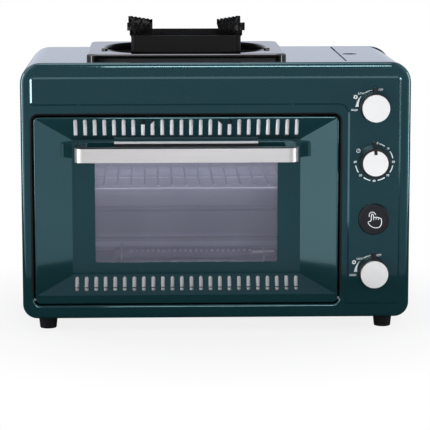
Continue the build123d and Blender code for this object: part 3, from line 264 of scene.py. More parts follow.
def satin_steel():
    """Brushed strap of the handle, its grain running along it."""
    look = Finish("satin_steel")
    grain = look.noise(1500.0, 3.0, (0.02, 1.0, 1.0))
    shade = look.blend(grain, rgb(202, 202, 201), rgb(218, 218, 216))
    return look.surface(Base_Color=shade, Metallic=0.7, Roughness=0.27 + 0.12 * grain,
                        Normal=look.bump(grain, 0.00002, 0.35))


def bright_wire():
    """Chromed wire of the rack."""
    look = Finish("bright_wire")
    film = look.noise(120.0, 2.0)
    shade = look.blend(film, rgb(236, 236, 240), rgb(250, 250, 252))
    return look.surface(Base_Color=shade, Metallic=0.5, Roughness=0.3 + 0.1 * film)


def case_screw_steel():
    """Zinc plated screws; the ones that hold the tray are blackened."""
    look = Finish("case_screw_steel")
    tone = look.noise(160.0, 3.0)
    plated = look.blend(tone, rgb(176, 178, 182), rgb(208, 208, 206))
    tray_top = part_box("drip_tray")[1].z
    black = look.rise(look.along("Z"), tray_top - 2.0 * MM, tray_top - 1.0 * MM)
    shade = look.blend(black, plated, rgb(16, 16, 17))
    return look.surface(Base_Color=shade, Metallic=0.9 - 0.9 * black, Roughness=0.3 + 0.2 * tone,
                        Coat_Weight=0.8 * black,
                        Normal=look.bump(look.noise(1400.0, 2.0), 0.00002, 0.4))


def plated_steel():
    """Zinc plated screws, pins and plates."""
    look = Finish("plated_steel")
    tone = look.noise(160.0, 3.0)
    shade = look.blend(tone, rgb(176, 178, 182), rgb(208, 208, 206))
    return look.surface(Base_Color=shade, Metallic=0.9, Roughness=0.28 + 0.2 * tone,
                        Normal=look.bump(look.noise(1400.0, 2.0), 0.00002, 0.4))


def black_moulding():
    """Fine-textured black plastic of knobs, posts and core."""
    look = Finish("black_moulding")
    texture = look.noise(1800.0, 3.0)
    patch = look.noise(60.0, 2.0)
    shade = look.blend(patch, rgb(14, 15, 20), rgb(24, 24, 29))
    return look.surface(Base_Color=shade, Roughness=0.34 + 0.12 * patch, Specular_IOR_Level=0.35,
                        Normal=look.bump(texture, 0.00005, 0.6))


def white_moulding():
    """White caps with a slight sheen."""
    look = Finish("white_moulding")
    haze = look.noise(45.0, 3.0)
    grain = look.noise(2200.0, 2.0)
    shade = look.blend(haze, rgb(222, 222, 223), rgb(230, 230, 230))
    return look.surface(Base_Color=shade, Roughness=0.34 + 0.08 * haze,
                        Normal=look.bump(grain, 0.00003, 0.4))


def black_enamel():
    """Deep black stove enamel with pin-point flecks; it is glazed on the tray's rim and dull in its well."""
    look = Finish("black_enamel")
    fleck = look.cells(1500.0, "Distance")
    wave = look.noise(70.0, 2.0)
    speck = look.ramp(fleck, (0.03, (0.02, 0.02, 0.022)), (0.06, (0.003, 0.003, 0.0035)))
    low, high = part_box("drip_tray")
    middle, half = (low + high) / 2, (high - low) / 2
    end_margin, side_margin = 18.0 * MM, 5.5 * MM
    glaze = look.outside_well(middle, half.x - end_margin, half.y - side_margin, 0.01, 0.22)
    flat = look.rise(look.along("Z"), high.z - 2.4 * MM, high.z - 1.2 * MM)
    side = look.rise(abs(look.along("X") - middle.x), half.x - 10.0 * MM, half.x - 5.0 * MM)
    rim = look.larger(flat, 0.35 * side)
    gloss = glaze ** 2.0 * rim
    return look.surface(Base_Color=speck, Roughness=0.75 - 0.6 * gloss, Specular_IOR_Level=0.0,
                        Coat_Weight=0.015 + 0.985 * gloss, Coat_Roughness=0.05, Coat_IOR=2.3,
                        Normal=look.bump(wave, 0.00004, 0.2))


def burnt_black():
    """Matte heat-proof coating of the windshield and the oven's front frame, with grit in it."""
    look = Finish("burnt_black")
    grit = look.noise(900.0, 4.0)
    patch = look.noise(38.0, 3.0)
    shade = look.blend(patch, rgb(9, 9, 10), rgb(21, 21, 21))
    return look.surface(Base_Color=shade, Roughness=0.34 + 0.14 * patch, Specular_IOR_Level=0.12,
                        Normal=look.bump(grit, 0.00016, 0.7))


def cast_black():
    """Enamel on the cast arms, glossy over a rough casting, so that it glints here and there."""
    look = Finish("cast_black")
    casting = look.noise(260.0, 3.0)
    grit = look.noise(1100.0, 2.0)
    shade = look.blend(casting, rgb(5, 5, 6), rgb(16, 16, 16))
    return look.surface(Base_Color=shade, Roughness=0.3 + 0.1 * grit, Specular_IOR_Level=0.04,
                        Coat_Weight=0.7 * look.rise(casting, 0.5, 0.6), Coat_Roughness=0.08,
                        Normal=look.bump(casting + 0.3 * grit, 0.0004, 0.8))


def black_rubber():
    """Grainy rubber of the feet and of the edging round the door; on the edging its black is partly painted
    shade of the door's gap.
    """
    look = Finish("black_rubber")
    grain = look.noise(900.0, 4.0)
    patch = look.noise(80.0, 2.0)
    shade = look.blend(patch, rgb(10, 10, 14), rgb(20, 20, 24))
    return look.surface(Base_Color=shade, Roughness=0.5 + 0.15 * patch, Specular_IOR_Level=0.25,
                        Normal=look.bump(grain, 0.00012, 0.5))


def cast_alloy():
    """Cast aluminium with a grainy skin."""
    look = Finish("cast_alloy")
    skin = look.noise(500.0, 5.0)
    patch = look.noise(40.0, 2.0)
    shade = look.blend(patch, rgb(150, 150, 150), rgb(186, 186, 184))
    return look.surface(Base_Color=shade, Metallic=0.8, Roughness=0.4 + 0.15 * skin,
                        Normal=look.bump(skin, 0.0001, 0.5))


def drawn_steel():
    """Gas pipes with fine marks from drawing."""
    look = Finish("drawn_steel")
    tone = look.noise(50.0, 3.0)
    marks = look.noise(700.0, 2.0)
    shade = look.blend(tone, rgb(150, 150, 158), rgb(188, 187, 190))
    return look.surface(Base_Color=shade, Metallic=0.85, Roughness=0.3 + 0.2 * tone,
                        Normal=look.bump(marks, 0.00003, 0.4))


def dulled_steel():
    """Burner tube and probe, dulled by heat."""
    look = Finish("dulled_steel")
    tone = look.noise(60.0, 3.0)
    shade = look.blend(tone, rgb(112, 109, 120), rgb(126, 123, 134))
    return look.surface(Base_Color=shade, Metallic=0.1, Roughness=0.55 + 0.1 * tone,
                        Normal=look.bump(look.noise(700.0, 2.0), 0.00003, 0.4))


def clamp_bar():
    """Black bar whose long top bevel is painted near white, as a painted highlight."""
    look = Finish("clamp_bar")
    texture = look.noise(1800.0, 3.0)
    patch = look.noise(60.0, 2.0)
    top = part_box("glass_clamp")[1].z
    bevel = 2.4 * MM
    # Painted highlight: the top bevel is coloured near white.
    painted_highlight = look.rise(look.along("Z"), top - bevel, top - bevel + 0.2 * MM)
    coating = look.blend(patch, rgb(10, 11, 14), rgb(18, 18, 22))
    shade = look.blend(painted_highlight, coating, rgb(246, 246, 250))
    return look.surface(Base_Color=shade, Roughness=0.4 + 0.12 * patch, Specular_IOR_Level=0.25,
                        Normal=look.bump(texture, 0.00004, 0.5))


def turned_brass():
    """Bodies of the gas taps and of the safety valve."""
    look = Finish("turned_brass")
    grain = look.noise(800.0, 2.0)
    tone = look.noise(60.0, 2.0)
    shade = look.blend(tone, rgb(168, 134, 74), rgb(204, 172, 104))
    return look.surface(Base_Color=shade, Metallic=0.95, Roughness=0.24 + 0.2 * tone,
                        Normal=look.bump(grain, 0.00003, 0.4))


def grey_moulding():
    """Plastic housing of the timer's clockwork."""
    look = Finish("grey_moulding")
    tone = look.noise(70.0, 2.0)
    shade = look.blend(tone, rgb(92, 94, 98), rgb(112, 114, 118))
    return look.surface(Base_Color=shade, Roughness=0.5 + 0.1 * tone,
                        Normal=look.bump(look.noise(1500.0, 2.0), 0.00005, 0.5))


def glazed_ceramic():
    """Off-white insulators of the spark electrodes."""
    look = Finish("glazed_ceramic")
    tone = look.noise(180.0, 3.0)
    shade = look.blend(tone, rgb(218, 214, 204), rgb(238, 236, 230))
    return look.surface(Base_Color=shade, Roughness=0.2 + 0.15 * tone, Coat_Weight=0.5,
                        Normal=look.bump(look.noise(600.0, 2.0), 0.00003, 0.3))


def clear_pane():
    """Thin glass: a reflection that grows at a flat angle, and a pale haze that is thicker near its top; the
    haze is partly a film on the glass and partly painted light that brightens the upper window.
    """
    look = Finish("clear_pane")
    smear = look.noise(18.0, 3.0)
    tint = look.blend(smear, rgb(240, 241, 248), rgb(248, 248, 252))
    clear = look.node("ShaderNodeBsdfTransparent", inputs={"Color": tint})
    haze = look.node("ShaderNodeBsdfDiffuse", inputs={"Color": rgb(184, 188, 208)})
    gloss = look.node("ShaderNodeBsdfGlossy", inputs={"Color": rgb(255, 255, 255), "Roughness": 0.02})
    edge = look.node("ShaderNodeFresnel", inputs={"IOR": 1.45})
    seen_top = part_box("glass_clamp")[0].z
    # Painted light: the haze thickens towards the top so that the upper window reads brighter, as if more
    # light fell inside there.
    film = look.rise(look.along("Z"), seen_top - 52.0 * MM, seen_top - 18.0 * MM)
    haze_and_painted_light = 0.09 + 0.04 * smear + 0.13 * film
    veiled = look.node("ShaderNodeMixShader", inputs={0: haze_and_painted_light, 1: clear, 2: haze})
    return look.end(look.node("ShaderNodeMixShader", inputs={0: edge, 1: veiled, 2: gloss}))


def white_print():
    """Screen-printed marks of the dials and of the flame button."""
    look = Finish("white_print")
    wear = look.noise(700.0, 3.0)
    shade = look.blend(wear, rgb(206, 214, 216), rgb(236, 240, 240))
    return look.surface(Base_Color=shade, Roughness=0.45 + 0.1 * wear,
                        Normal=look.bump(wear, 0.00001, 0.3))


def ground_edge():
    """Bright ring round a burner port."""
    look = Finish("ground_edge")
    tone = look.noise(300.0, 2.0)
    shade = look.blend(tone, rgb(214, 214, 226), rgb(240, 240, 248))
    return look.surface(Base_Color=shade, Metallic=0.1, Roughness=0.35 + 0.2 * tone)


def dark_recess():
    """Shadowed drive recess of a screw."""
    look = Finish("dark_recess")
    tone = look.noise(300.0, 2.0)
    shade = look.blend(tone, rgb(22, 22, 24), rgb(48, 48, 50))
    return look.surface(Base_Color=shade, Metallic=0.5, Roughness=0.5 + 0.2 * tone)


def dress(finish, *names):
    """Gives CAD nodes a finish."""
    for name in names:
        for material_slot in nodes[name].material_slots:
            material_slot.material = finish


ARMS = [f"pan_arm_{end}_{side}" for end in ("front", "back") for side in ("left", "right")]
print_ink = white_print()
recess_dark = dark_recess()
dress(teal_enamel(), "front_panel", "top_cover", "right_side_panel", "canister_lid", "door_skin",
      "base_pan", "back_panel")
dress(spangled_steel(), "bay_partition", "cartridge_cradle", "pin_brackets", "cavity_roof")
dress(liner_steel(), "door_liner")
dress(lining_steel(), "cavity_left_wall", "cavity_right_wall", "cavity_floor", "cavity_back_wall",
      "burner_bracket", "electrode_bracket")
dress(satin_steel(), "handle_strap")
dress(bright_wire(), "wire_rack")
dress(case_screw_steel(), "case_screws")
dress(plated_steel(), "handle_screws", "lid_hinge_pin", "door_pins", "hinge_plates")
dress(black_moulding(), "handle_core", "handle_posts", "stove_knob", "timer_knob", "oven_knob",
      "flame_button", "glass_brackets")
dress(clamp_bar(), "glass_clamp")
dress(white_moulding(), "stove_cap", "timer_cap", "oven_cap")
dress(black_enamel(), "drip_tray", "burner_cap")
dress(cast_black(), *ARMS)
rubber = black_rubber()
dress(rubber, "feet")
dress(burnt_black(), "windshield", "cavity_frame")
dress(cast_alloy(), "burner_head", "burner_base", "gas_regulator")
dress(drawn_steel(), "stove_pipe", "supply_pipe", "oven_pipe")
dress(dulled_steel(), "oven_burner", "thermocouple")
dress(turned_brass(), "stove_valve", "oven_valve", "safety_valve")
dress(grey_moulding(), "timer_body")
dress(glazed_ceramic(), "stove_electrode", "oven_electrode")
dress(clear_pane(), "door_glass")


# ---- Camera, floor and light --------------------------------------------------------
def add_camera():
    """Long lens a little above and to the left, looking slightly down."""
    place = (-0.0775, -2.7173, 0.5476)
    yaw, pitch, roll = radians(1.68), radians(8.81), radians(-0.045)
    forward = Vector((sin(yaw) * cos(pitch), cos(yaw) * cos(pitch), -sin(pitch)))
    across = Vector((cos(yaw), -sin(yaw), 0.0))
    up = across.cross(forward)
    across_rolled = across * cos(roll) + up * sin(roll)
    up_rolled = up * cos(roll) - across * sin(roll)
    turn = Matrix((across_rolled, up_rolled, -forward)).transposed().to_4x4()
    lens = bpy.data.cameras.new("camera")
    lens.sensor_width = 36.0
    lens.lens = 177.8
    camera = bpy.data.objects.new("camera", lens)
    camera.matrix_world = Matrix.Translation(place) @ turn
    bpy.context.scene.collection.objects.link(camera)
    bpy.context.scene.camera = camera


def add_softbox(name, place, target, width, height, power, mirrored=True):
    """Rectangular studio lamp that points at a target; glossy surfaces may be kept from mirroring it."""
    lamp = bpy.data.lights.new(name, "AREA")
    lamp.shape = "RECTANGLE"
    lamp.size = width
    lamp.size_y = height
    lamp.energy = power
    box = bpy.data.objects.new(name, lamp)
    aim = Vector(target) - Vector(place)
    box.matrix_world = Matrix.Translation(place) @ aim.to_track_quat("-Z", "Y").to_matrix().to_4x4()
    box.visible_glossy = mirrored
    bpy.context.scene.collection.objects.link(box)


def light_world():
    """White behind the object; in front of it dark, with a pale wall to each side, as in a small studio."""
    world = bpy.data.worlds.new("studio")
    bpy.context.scene.world = world
    look = Finish("studio", world)
    camera = look.node("ShaderNodeLightPath", output="Is Camera Ray")
    glossy = look.node("ShaderNodeLightPath", output="Is Glossy Ray")
    through = look.node("ShaderNodeLightPath", output="Is Transmission Ray")
    direction = look.node("ShaderNodeTexCoord", output="Generated")
    across, behind, height = (look.node("ShaderNodeSeparateXYZ", inputs={"Vector": direction}, output=axis)
                              for axis in "XYZ")
    left_far, left_near = (1.4, 1.4, 1.4), (1.1, 1.1, 1.1)
    middle = (0.23, 0.2, 0.25)
    right_near, right_far = (0.5, 0.52, 0.58), (0.72, 0.74, 0.8)
    walls = look.ramp(across * 0.5 + 0.5, (0.12, left_far), (0.26, left_near), (0.4, middle),
                      (0.6, middle), (0.74, right_near), (0.88, right_far))
    above_floor = look.ramp(height * 0.5 + 0.5, (0.12, (0.0, 0.0, 0.0)), (0.4, (1.0, 1.0, 1.0)))
    front = look.blend(above_floor, rgb(6, 10, 10), walls)
    backdrop = look.rise(behind, -0.16, 0.2) * (1.0 - 0.7 * look.rise(height, 0.3, 0.7))
    mirrored = look.blend(backdrop, front, rgb(212, 218, 232))
    even = look.node("ShaderNodeBackground", inputs={
        "Color": (0.94, 0.97, 1.0, 1.0), "Strength": 0.14 + 0.6 * look.rise(behind, 0.05, 0.45)})
    mirror = look.node("ShaderNodeBackground", inputs={"Color": mirrored, "Strength": 1.0})
    seen = look.node("ShaderNodeBackground", inputs={"Color": (1.0, 1.0, 1.0, 1.0), "Strength": 1.0})
    lit = look.node("ShaderNodeMixShader", inputs={0: glossy, 1: even, 2: mirror})
    whole = look.node("ShaderNodeMixShader", inputs={0: look.larger(camera, through), 1: lit, 2: seen})
    look.node("ShaderNodeOutputWorld", inputs={"Surface": whole})


def add_floor():
    """Pale table top that keeps the object's shadow and fades to white away from it."""
    side, ahead, back = 3.0, 0.5, 6.0
    mesh = bpy.data.meshes.new("floor")
    corners = [(-side, -ahead, 0.0), (side, -ahead, 0.0), (side, back, 0.0), (-side, back, 0.0)]
    mesh.from_pydata(corners, [], [(0, 1, 2, 3)])
    floor = bpy.data.objects.new("floor", mesh)
    bpy.context.scene.collection.objects.link(floor)
    look = Finish("pale_floor")
    mottle = look.noise(3.0, 2.0)
    matte = look.node("ShaderNodeBsdfDiffuse", inputs={
        "Color": look.blend(mottle, rgb(226, 226, 228), rgb(232, 232, 233))})
    white = look.node("ShaderNodeEmission", inputs={"Color": (1.0, 1.0, 1.0, 1.0), "Strength": 1.0})
    camera = look.node("ShaderNodeLightPath", output="Is Camera Ray")
    distance = look.node("ShaderNodeVectorMath", {"operation": "LENGTH"}, {0: look.coordinates()},
                         output="Value")
    fade = look.node("ShaderNodeMapRange", {"clamp": True},
                     {"Value": distance, "From Min": 0.22, "From Max": 0.46, "To Min": 0.84, "To Max": 1.0})
    mirrored = look.node("ShaderNodeLightPath", output="Is Glossy Ray")
    shadowed = look.node("ShaderNodeBsdfDiffuse", inputs={"Color": rgb(40, 42, 44)})
    ground = look.node("ShaderNodeMixShader", inputs={0: mirrored, 1: matte, 2: shadowed})
    faded = look.node("ShaderNodeMixShader", inputs={0: fade * camera, 1: ground, 2: white})
    mesh.materials.append(look.end(faded))


add_camera()
light_world()
add_floor()
add_softbox("top_softbox", (-0.1, -0.1, 1.8), (0.0, 0.0, 0.3), 1.2, 0.8, 6.0)
add_softbox("edge_softbox", (0.02, -0.573, 1.212), (0.02, -0.127, 0.317), 0.8, 0.07, 0.16)
add_softbox("left_softbox", (-1.5, -0.6, 0.35), (0.0, -0.1, 0.2), 0.22, 1.1, 9.0)
add_softbox("right_softbox", (1.5, -0.6, 0.35), (0.0, -0.1, 0.2), 0.22, 1.1, 9.0)
front_lamp = ((0.17, -2.95, 0.66), (0.0, 0.0, 0.2), 0.75, 0.44)
add_softbox("front_softbox", *front_lamp, 14.0)
add_softbox("front_fill", *front_lamp, 14.5, mirrored=False)
add_softbox("low_fill", (0.0, -1.9, -0.36), (0.0, 0.1, 0.2), 0.9, 0.3, 14.5, mirrored=False)


# ---- Printed marks and small details ------------------------------------------------
ink_thickness = 0.08 * MM


def centre(name):
    """Middle of a CAD node's box."""
    low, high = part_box(name)
    return (low + high) / 2


def finish_piece(name, mesh, material, body):
    """Turns a mesh into a piece of the object that moves with its body."""
    mesh.materials.clear()
    mesh.materials.append(material)
    piece = bpy.data.objects.new(name, mesh)
    bpy.context.scene.collection.objects.link(piece)
    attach(piece, body)


def facing_front(x, y, z):
    """Puts a drawing made in its own X and Y on a plane that faces the front."""
    return Matrix.Translation((x, y, z)) @ Matrix.Rotation(pi / 2, 4, "X")


class Drawing:
    """Flat shapes of one thickness, drawn in X and Y and then set on a surface."""

    def __init__(self, thickness):
        self.thickness = thickness
        self.mesh = bmesh.new()

    def shape(self, outline):
        """A closed outline, as a thin plate."""
        back = [self.mesh.verts.new((x, y, 0.0)) for x, y in outline]
        front = [self.mesh.verts.new((x, y, self.thickness)) for x, y in outline]
        self.mesh.faces.new(front)
        self.mesh.faces.new(back[::-1])
        for i, corner in enumerate(back):
            j = (i + 1) % len(back)
            self.mesh.faces.new((corner, back[j], front[j], front[i]))

    def band(self, points, widths, closed=False):
        """A stroke along points, which may swell or taper."""
        count = len(points)
        sides = []
        for i, (x, y) in enumerate(points):
            before = points[(i - 1) % count] if closed or i else points[0]
            after = points[(i + 1) % count] if closed or i < count - 1 else points[-1]
            along = Vector((after[0] - before[0], after[1] - before[1])).normalized()
            across = Vector((-along.y, along.x)) * widths[i] / 2
            sides.append(((x + across.x, y + across.y), (x - across.x, y - across.y)))
        for i in range(count if closed else count - 1):
            j = (i + 1) % count
            self.shape([sides[i][1], sides[j][1], sides[j][0], sides[i][0]])

    def arc(self, middle, radius, start, end, start_width, end_width=None, steps=20):
        """A curved stroke; angles are clockwise from twelve o'clock."""
        end_width = start_width if end_width is None else end_width
        turns = [radians(start + (end - start) * i / steps) for i in range(steps + 1)]
        points = [(middle[0] + radius * sin(turn), middle[1] + radius * cos(turn)) for turn in turns]
        self.band(points, [start_width + (end_width - start_width) * i / steps for i in range(steps + 1)])

    def ring(self, middle, radius, width, steps=28):
        """A stroke that goes once round a point."""
        self.arc(middle, radius, 0.0, 360.0, width, width, steps)

    def word(self, letters, middle, height):
        """Plain lettering, centred on a point."""
        capital_share = 0.7
        boldness = 0.03
        curve = bpy.data.curves.new("letters", "FONT")
        curve.body = letters
        curve.size = height / capital_share
        curve.align_x = "CENTER"
        curve.align_y = "CENTER"
        curve.offset = height * boldness
        curve.extrude = self.thickness / 2
        curve.resolution_u = 3
        carrier = bpy.data.objects.new("letters", curve)
        mesh = bpy.data.meshes.new_from_object(carrier)
        mesh.transform(Matrix.Translation((*middle, self.thickness / 2)))
        self.mesh.from_mesh(mesh)
        bpy.data.objects.remove(carrier)
        bpy.data.meshes.remove(mesh)
        bpy.data.curves.remove(curve)

    def placed(self, name, place):
        """The finished drawing as a mesh, set in its place."""
        mesh = bpy.data.meshes.new(name)
        self.mesh.to_mesh(mesh)
        self.mesh.free()
        mesh.transform(place)
        return mesh


def print_gas_dial(name, cap):
    """Off, low and high on a gas tap's dial, with a wedge that swells towards high."""
    dial = Drawing(ink_thickness)
    axis = (0.0, 0.0)
    letter_height = 2.4 * MM
    dial.arc(axis, 21.6 * MM, -9.0, -33.0, 0.5 * MM, 1.3 * MM)
    dial.arc(axis, 21.9 * MM, -50.0, -88.0, 0.3 * MM, 3.8 * MM)
    dial.ring((-23.9 * MM, 12.9 * MM), 1.8 * MM, 1.4 * MM)
    for word, x, z in (("OFF", 7.0, 21.6), ("LOW", -16.8, 17.0), ("HIGH", -25.2, -3.4)):
        dial.word(word, (x * MM, z * MM), letter_height)
    mesh = dial.placed(name, facing_front(centre("stove_knob").x, strip_y, centre(cap).z))
    finish_piece(name, mesh, print_ink, "body")


def print_timer_dial():
    """Minutes round the timer, ten apart, joined by arcs, with a small clock."""
    dial = Drawing(ink_thickness)
    axis = (0.0, 0.0)
    radius = 23.6 * MM
    number_height = 2.7 * MM
    spacing, last = 45, 6
    clear, clear_of_zero = 11, 15
    # The zero stands aside, because the pointer covers the top.
    zero_turn = 9
    for i in range(last + 1):
        turn = radians(spacing * i if i else zero_turn)
        dial.word(str(10 * i), (radius * sin(turn), radius * cos(turn)), number_height)
    for i in range(last):
        start = spacing * i + (clear if i else clear_of_zero)
        dial.arc(axis, radius - 0.3 * MM, start, spacing * (i + 1) - clear, 1.25 * MM)
    clock = (-19.8 * MM, 14.0 * MM)
    dial.ring(clock, 2.2 * MM, 0.55 * MM)
    hands = [(clock[0], clock[1] + 1.3 * MM), clock, (clock[0] + 1.0 * MM, clock[1])]
    dial.band(hands, [0.45 * MM] * len(hands))
    mesh = dial.placed("timer_dial", facing_front(centre("stove_knob").x, strip_y, centre("timer_cap").z))
    finish_piece("timer_dial", mesh, print_ink, "body")


def print_hand():
    """Hand that presses with one finger, drawn as an outline on the flame button."""
    symbol = Drawing(ink_thickness)
    # Corners in millimetres from the button's middle: wrist, palm and knuckles, then the raised finger.
    wrist = [(-3.4, -2.0), (-6.4, -1.9), (-7.7, -3.6), (-5.0, -7.2), (-0.6, -10.0), (5.2, -10.2)]
    knuckles = [(8.8, -7.4), (9.6, -2.4), (8.9, 1.5), (6.9, 2.1), (4.6, 3.0), (2.2, 3.4), (-0.5, 2.4)]
    finger = [(-0.9, 6.2), (-2.2, 7.4), (-3.5, 6.2)]
    outline = rounded_loop([(x * MM, z * MM) for x, z in wrist + knuckles + finger])
    symbol.band(outline, [0.95 * MM] * len(outline), closed=True)
    for x, top, bottom in ((-0.5, 2.6, -0.6), (2.6, 3.1, 0.2), (5.6, 2.4, -0.2)):
        symbol.band([(x * MM, top * MM), (x * MM, bottom * MM)], [0.8 * MM] * 2)
    symbol.arc((-2.2 * MM, 5.6 * MM), 4.0 * MM, -118.0, 84.0, 0.85 * MM)
    middle = centre("flame_button")
    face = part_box("flame_button")[0].y + 0.8 * MM
    mesh = symbol.placed("button_hand", facing_front(middle.x, face, middle.z))
    finish_piece("button_hand", mesh, print_ink, "flame_button")


def rounded_loop(corners, rounds=2):
    """Cuts the corners of a closed outline again and again, which rounds it."""
    near, far = 0.75, 0.25
    for _ in range(rounds):
        cut = []
        for i, (x0, y0) in enumerate(corners):
            x1, y1 = corners[(i + 1) % len(corners)]
            cut.append((near * x0 + far * x1, near * y0 + far * y1))
            cut.append((far * x0 + near * x1, far * y0 + near * y1))
        corners = cut
    return corners


print_gas_dial("stove_dial", "stove_cap")
print_gas_dial("oven_dial", "oven_cap")
print_timer_dial()
print_hand()


# ---- Small rigid pieces --------------------------------------------------------------
def swept(name, loops):
    """A closed section carried along a path: one list of places for each point of the section."""
    mesh = bmesh.new()
    rows = [[mesh.verts.new(place) for place in loop] for loop in loops]
    for row, after in zip(rows, rows[1:] + rows[:1]):
        for i in range(len(row) - 1):
            mesh.faces.new((row[i], row[i + 1], after[i + 1], after[i]))
    mesh.faces.new([row[0] for row in rows])
    mesh.faces.new([row[-1] for row in rows[::-1]])
    bmesh.ops.recalc_face_normals(mesh, faces=mesh.faces)
    made = bpy.data.meshes.new(name)
    mesh.to_mesh(made)
    mesh.free()
    return made


def door_arch(offset, y, base):
    """Places along the door's sides and top, this far outside its outline."""
    low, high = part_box("door_skin")
    door_corner = 6.0 * MM
    steps = 8
    corner = door_corner + offset
    left, right = low.x + door_corner, high.x - door_corner
    top = high.z - door_corner
    turns = [radians(90 * i / steps) for i in range(steps + 1)]
    left_round = [(left - corner * cos(turn), y, top + corner * sin(turn)) for turn in turns]
    right_round = [(right + corner * sin(turn), y, top + corner * cos(turn)) for turn in turns]
    return [(left - corner, y, base)] + left_round + right_round + [(right + corner, y, base)]


def add_door_edging():
    """Black rubber edging over the rolled edge of the door's opening, at its sides and top; its black also
    stands in for the shade in the door's gap, as painted shade.
    """
    gap, roll = 2.2 * MM, 2.5 * MM
    outer, inner = roll + 0.12 * MM, roll - 0.4 * MM
    face = strip_y + 1.6 * MM
    depth = 5.0 * MM
    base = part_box("door_skin")[0].z + 14.0 * MM
    steps = 6
    turns = [radians(90 * i / steps) for i in range(steps + 1)]
    section = []
    for radius, order in ((outer, 1), (inner, -1)):
        line = [(gap + roll - radius * sin(turn), face + roll - radius * cos(turn)) for turn in turns]
        section += (line + [(line[-1][0], face + depth)])[::order]
    mesh = swept("door_edging_gap_shade", [door_arch(offset, y, base) for offset, y in section])
    finish_piece("door_edging_gap_shade", mesh, rubber, "body")


def add_bracket_webs():
    """Gussets below the heads of the glass's brackets, cut off slanting towards the door's middle."""
    bracket_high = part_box("glass_brackets")[1]
    top = bracket_high.z - 2.0 * MM
    base = top - 7.6 * MM
    back, front = bracket_high.y - 0.1 * MM, bracket_high.y - 1.5 * MM
    outer, heel, inner = 58.0 * MM, 44.4 * MM, 39.2 * MM
    slant = 4.6 * MM
    outline = [(outer, top), (outer, base), (heel, base), (inner, base + slant), (inner, top)]
    plastic = nodes["glass_brackets"].material_slots[0].material
    middle = centre("door_skin").x
    for side, word in ((-1, "left"), (1, "right")):
        name = f"glass_bracket_web_{word}"
        mesh = swept(name, [[(middle + side * reach, y, z) for y in (front, back)] for reach, z in outline])
        finish_piece(name, mesh, plastic, "door")


add_door_edging()
add_bracket_webs()


# ---- Repeated details, grown by patterns --------------------------------------------
class Pattern(NodeTree):
    """Geometry Nodes that repeat a small form, with named inputs for its sizes."""

    def __init__(self, name, **kinds):
        super().__init__(bpy.data.node_groups.new(name, "GeometryNodeTree"))
        self.socket("Geometry", "INPUT", "Geometry")
        self.socket("Geometry", "OUTPUT", "Geometry")
        self.identifiers = {label: self.socket(label, "INPUT", kind) for label, kind in kinds.items()}

    def socket(self, label, way, kind):
        """Adds an input or output to the tree and returns its identifier."""
        interface = self.tree.interface
        return interface.new_socket(name=label, in_out=way, socket_type="NodeSocket" + kind).identifier

    def given(self, label):
        """The value of a named input."""
        return self.node("NodeGroupInput", output=label)

    def end(self, forms, material):
        """Makes the copies real, gives them their finish and closes the tree."""
        real = self.node("GeometryNodeRealizeInstances", inputs={"Geometry": forms})
        finished = self.node("GeometryNodeSetMaterial", inputs={"Geometry": real, "Material": material})
        self.node("NodeGroupOutput", inputs={"Geometry": finished})

    def grow(self, name, points, **values):
        """Runs the pattern on a set of points and returns a plain mesh."""
        seed = bpy.data.meshes.new(name + "_points")
        seed.from_pydata(points, [], [])
        host = bpy.data.objects.new(name + "_host", seed)
        bpy.context.scene.collection.objects.link(host)
        modifier = host.modifiers.new("pattern", "NODES")
        modifier.node_group = self.tree
        for label, value in values.items():
            modifier[self.identifiers[label]] = value
        evaluated = host.evaluated_get(bpy.context.evaluated_depsgraph_get())
        mesh = bpy.data.meshes.new_from_object(evaluated)
        host.modifiers.remove(modifier)
        bpy.data.objects.remove(host)
        mesh.name = name
        return mesh


def wire_ring_pattern(material):
    """Small wire rings on points, all tilted alike."""
    pattern = Pattern("wire_rings", Radius="Float", Wire="Float", Tilt="Vector")
    circle = pattern.node("GeometryNodeCurvePrimitiveCircle", inputs={
        "Resolution": 12, "Radius": pattern.given("Radius")})
    section = pattern.node("GeometryNodeCurvePrimitiveCircle", inputs={
        "Resolution": 5, "Radius": pattern.given("Wire")})
    ring = pattern.node("GeometryNodeCurveToMesh", inputs={"Curve": circle, "Profile Curve": section})
    turn = pattern.node("FunctionNodeEulerToRotation", inputs={"Euler": pattern.given("Tilt")})
    copies = pattern.node("GeometryNodeInstanceOnPoints", inputs={
        "Points": pattern.given("Geometry"), "Instance": ring, "Rotation": turn})
    pattern.end(copies, material)
    return pattern


def cross_pattern(material):
    """Dark cross-shaped marks on points, all turned alike, painted as the shade in drive recesses."""
    pattern = Pattern("crosses", Length="Float", Width="Float", Depth="Float", Turn="Vector")
    bars = []
    for long_side, short_side in (("Length", "Width"), ("Width", "Length")):
        size = pattern.node("ShaderNodeCombineXYZ", inputs={
            "X": pattern.given(long_side), "Y": pattern.given(short_side), "Z": pattern.given("Depth")})
        bars.append(pattern.node("GeometryNodeMeshCube", inputs={"Size": size}))
    joined = pattern.node("GeometryNodeMeshBoolean", {"operation": "UNION", "solver": "EXACT"},
                          {"Mesh 2": bars[0]})
    pattern.tree.links.new(bars[1].socket, joined.socket.node.inputs["Mesh 2"])
    turn = pattern.node("FunctionNodeEulerToRotation", inputs={"Euler": pattern.given("Turn")})
    copies = pattern.node("GeometryNodeInstanceOnPoints", inputs={
        "Points": pattern.given("Geometry"), "Instance": joined, "Rotation": turn})
    pattern.end(copies, material)
    return pattern


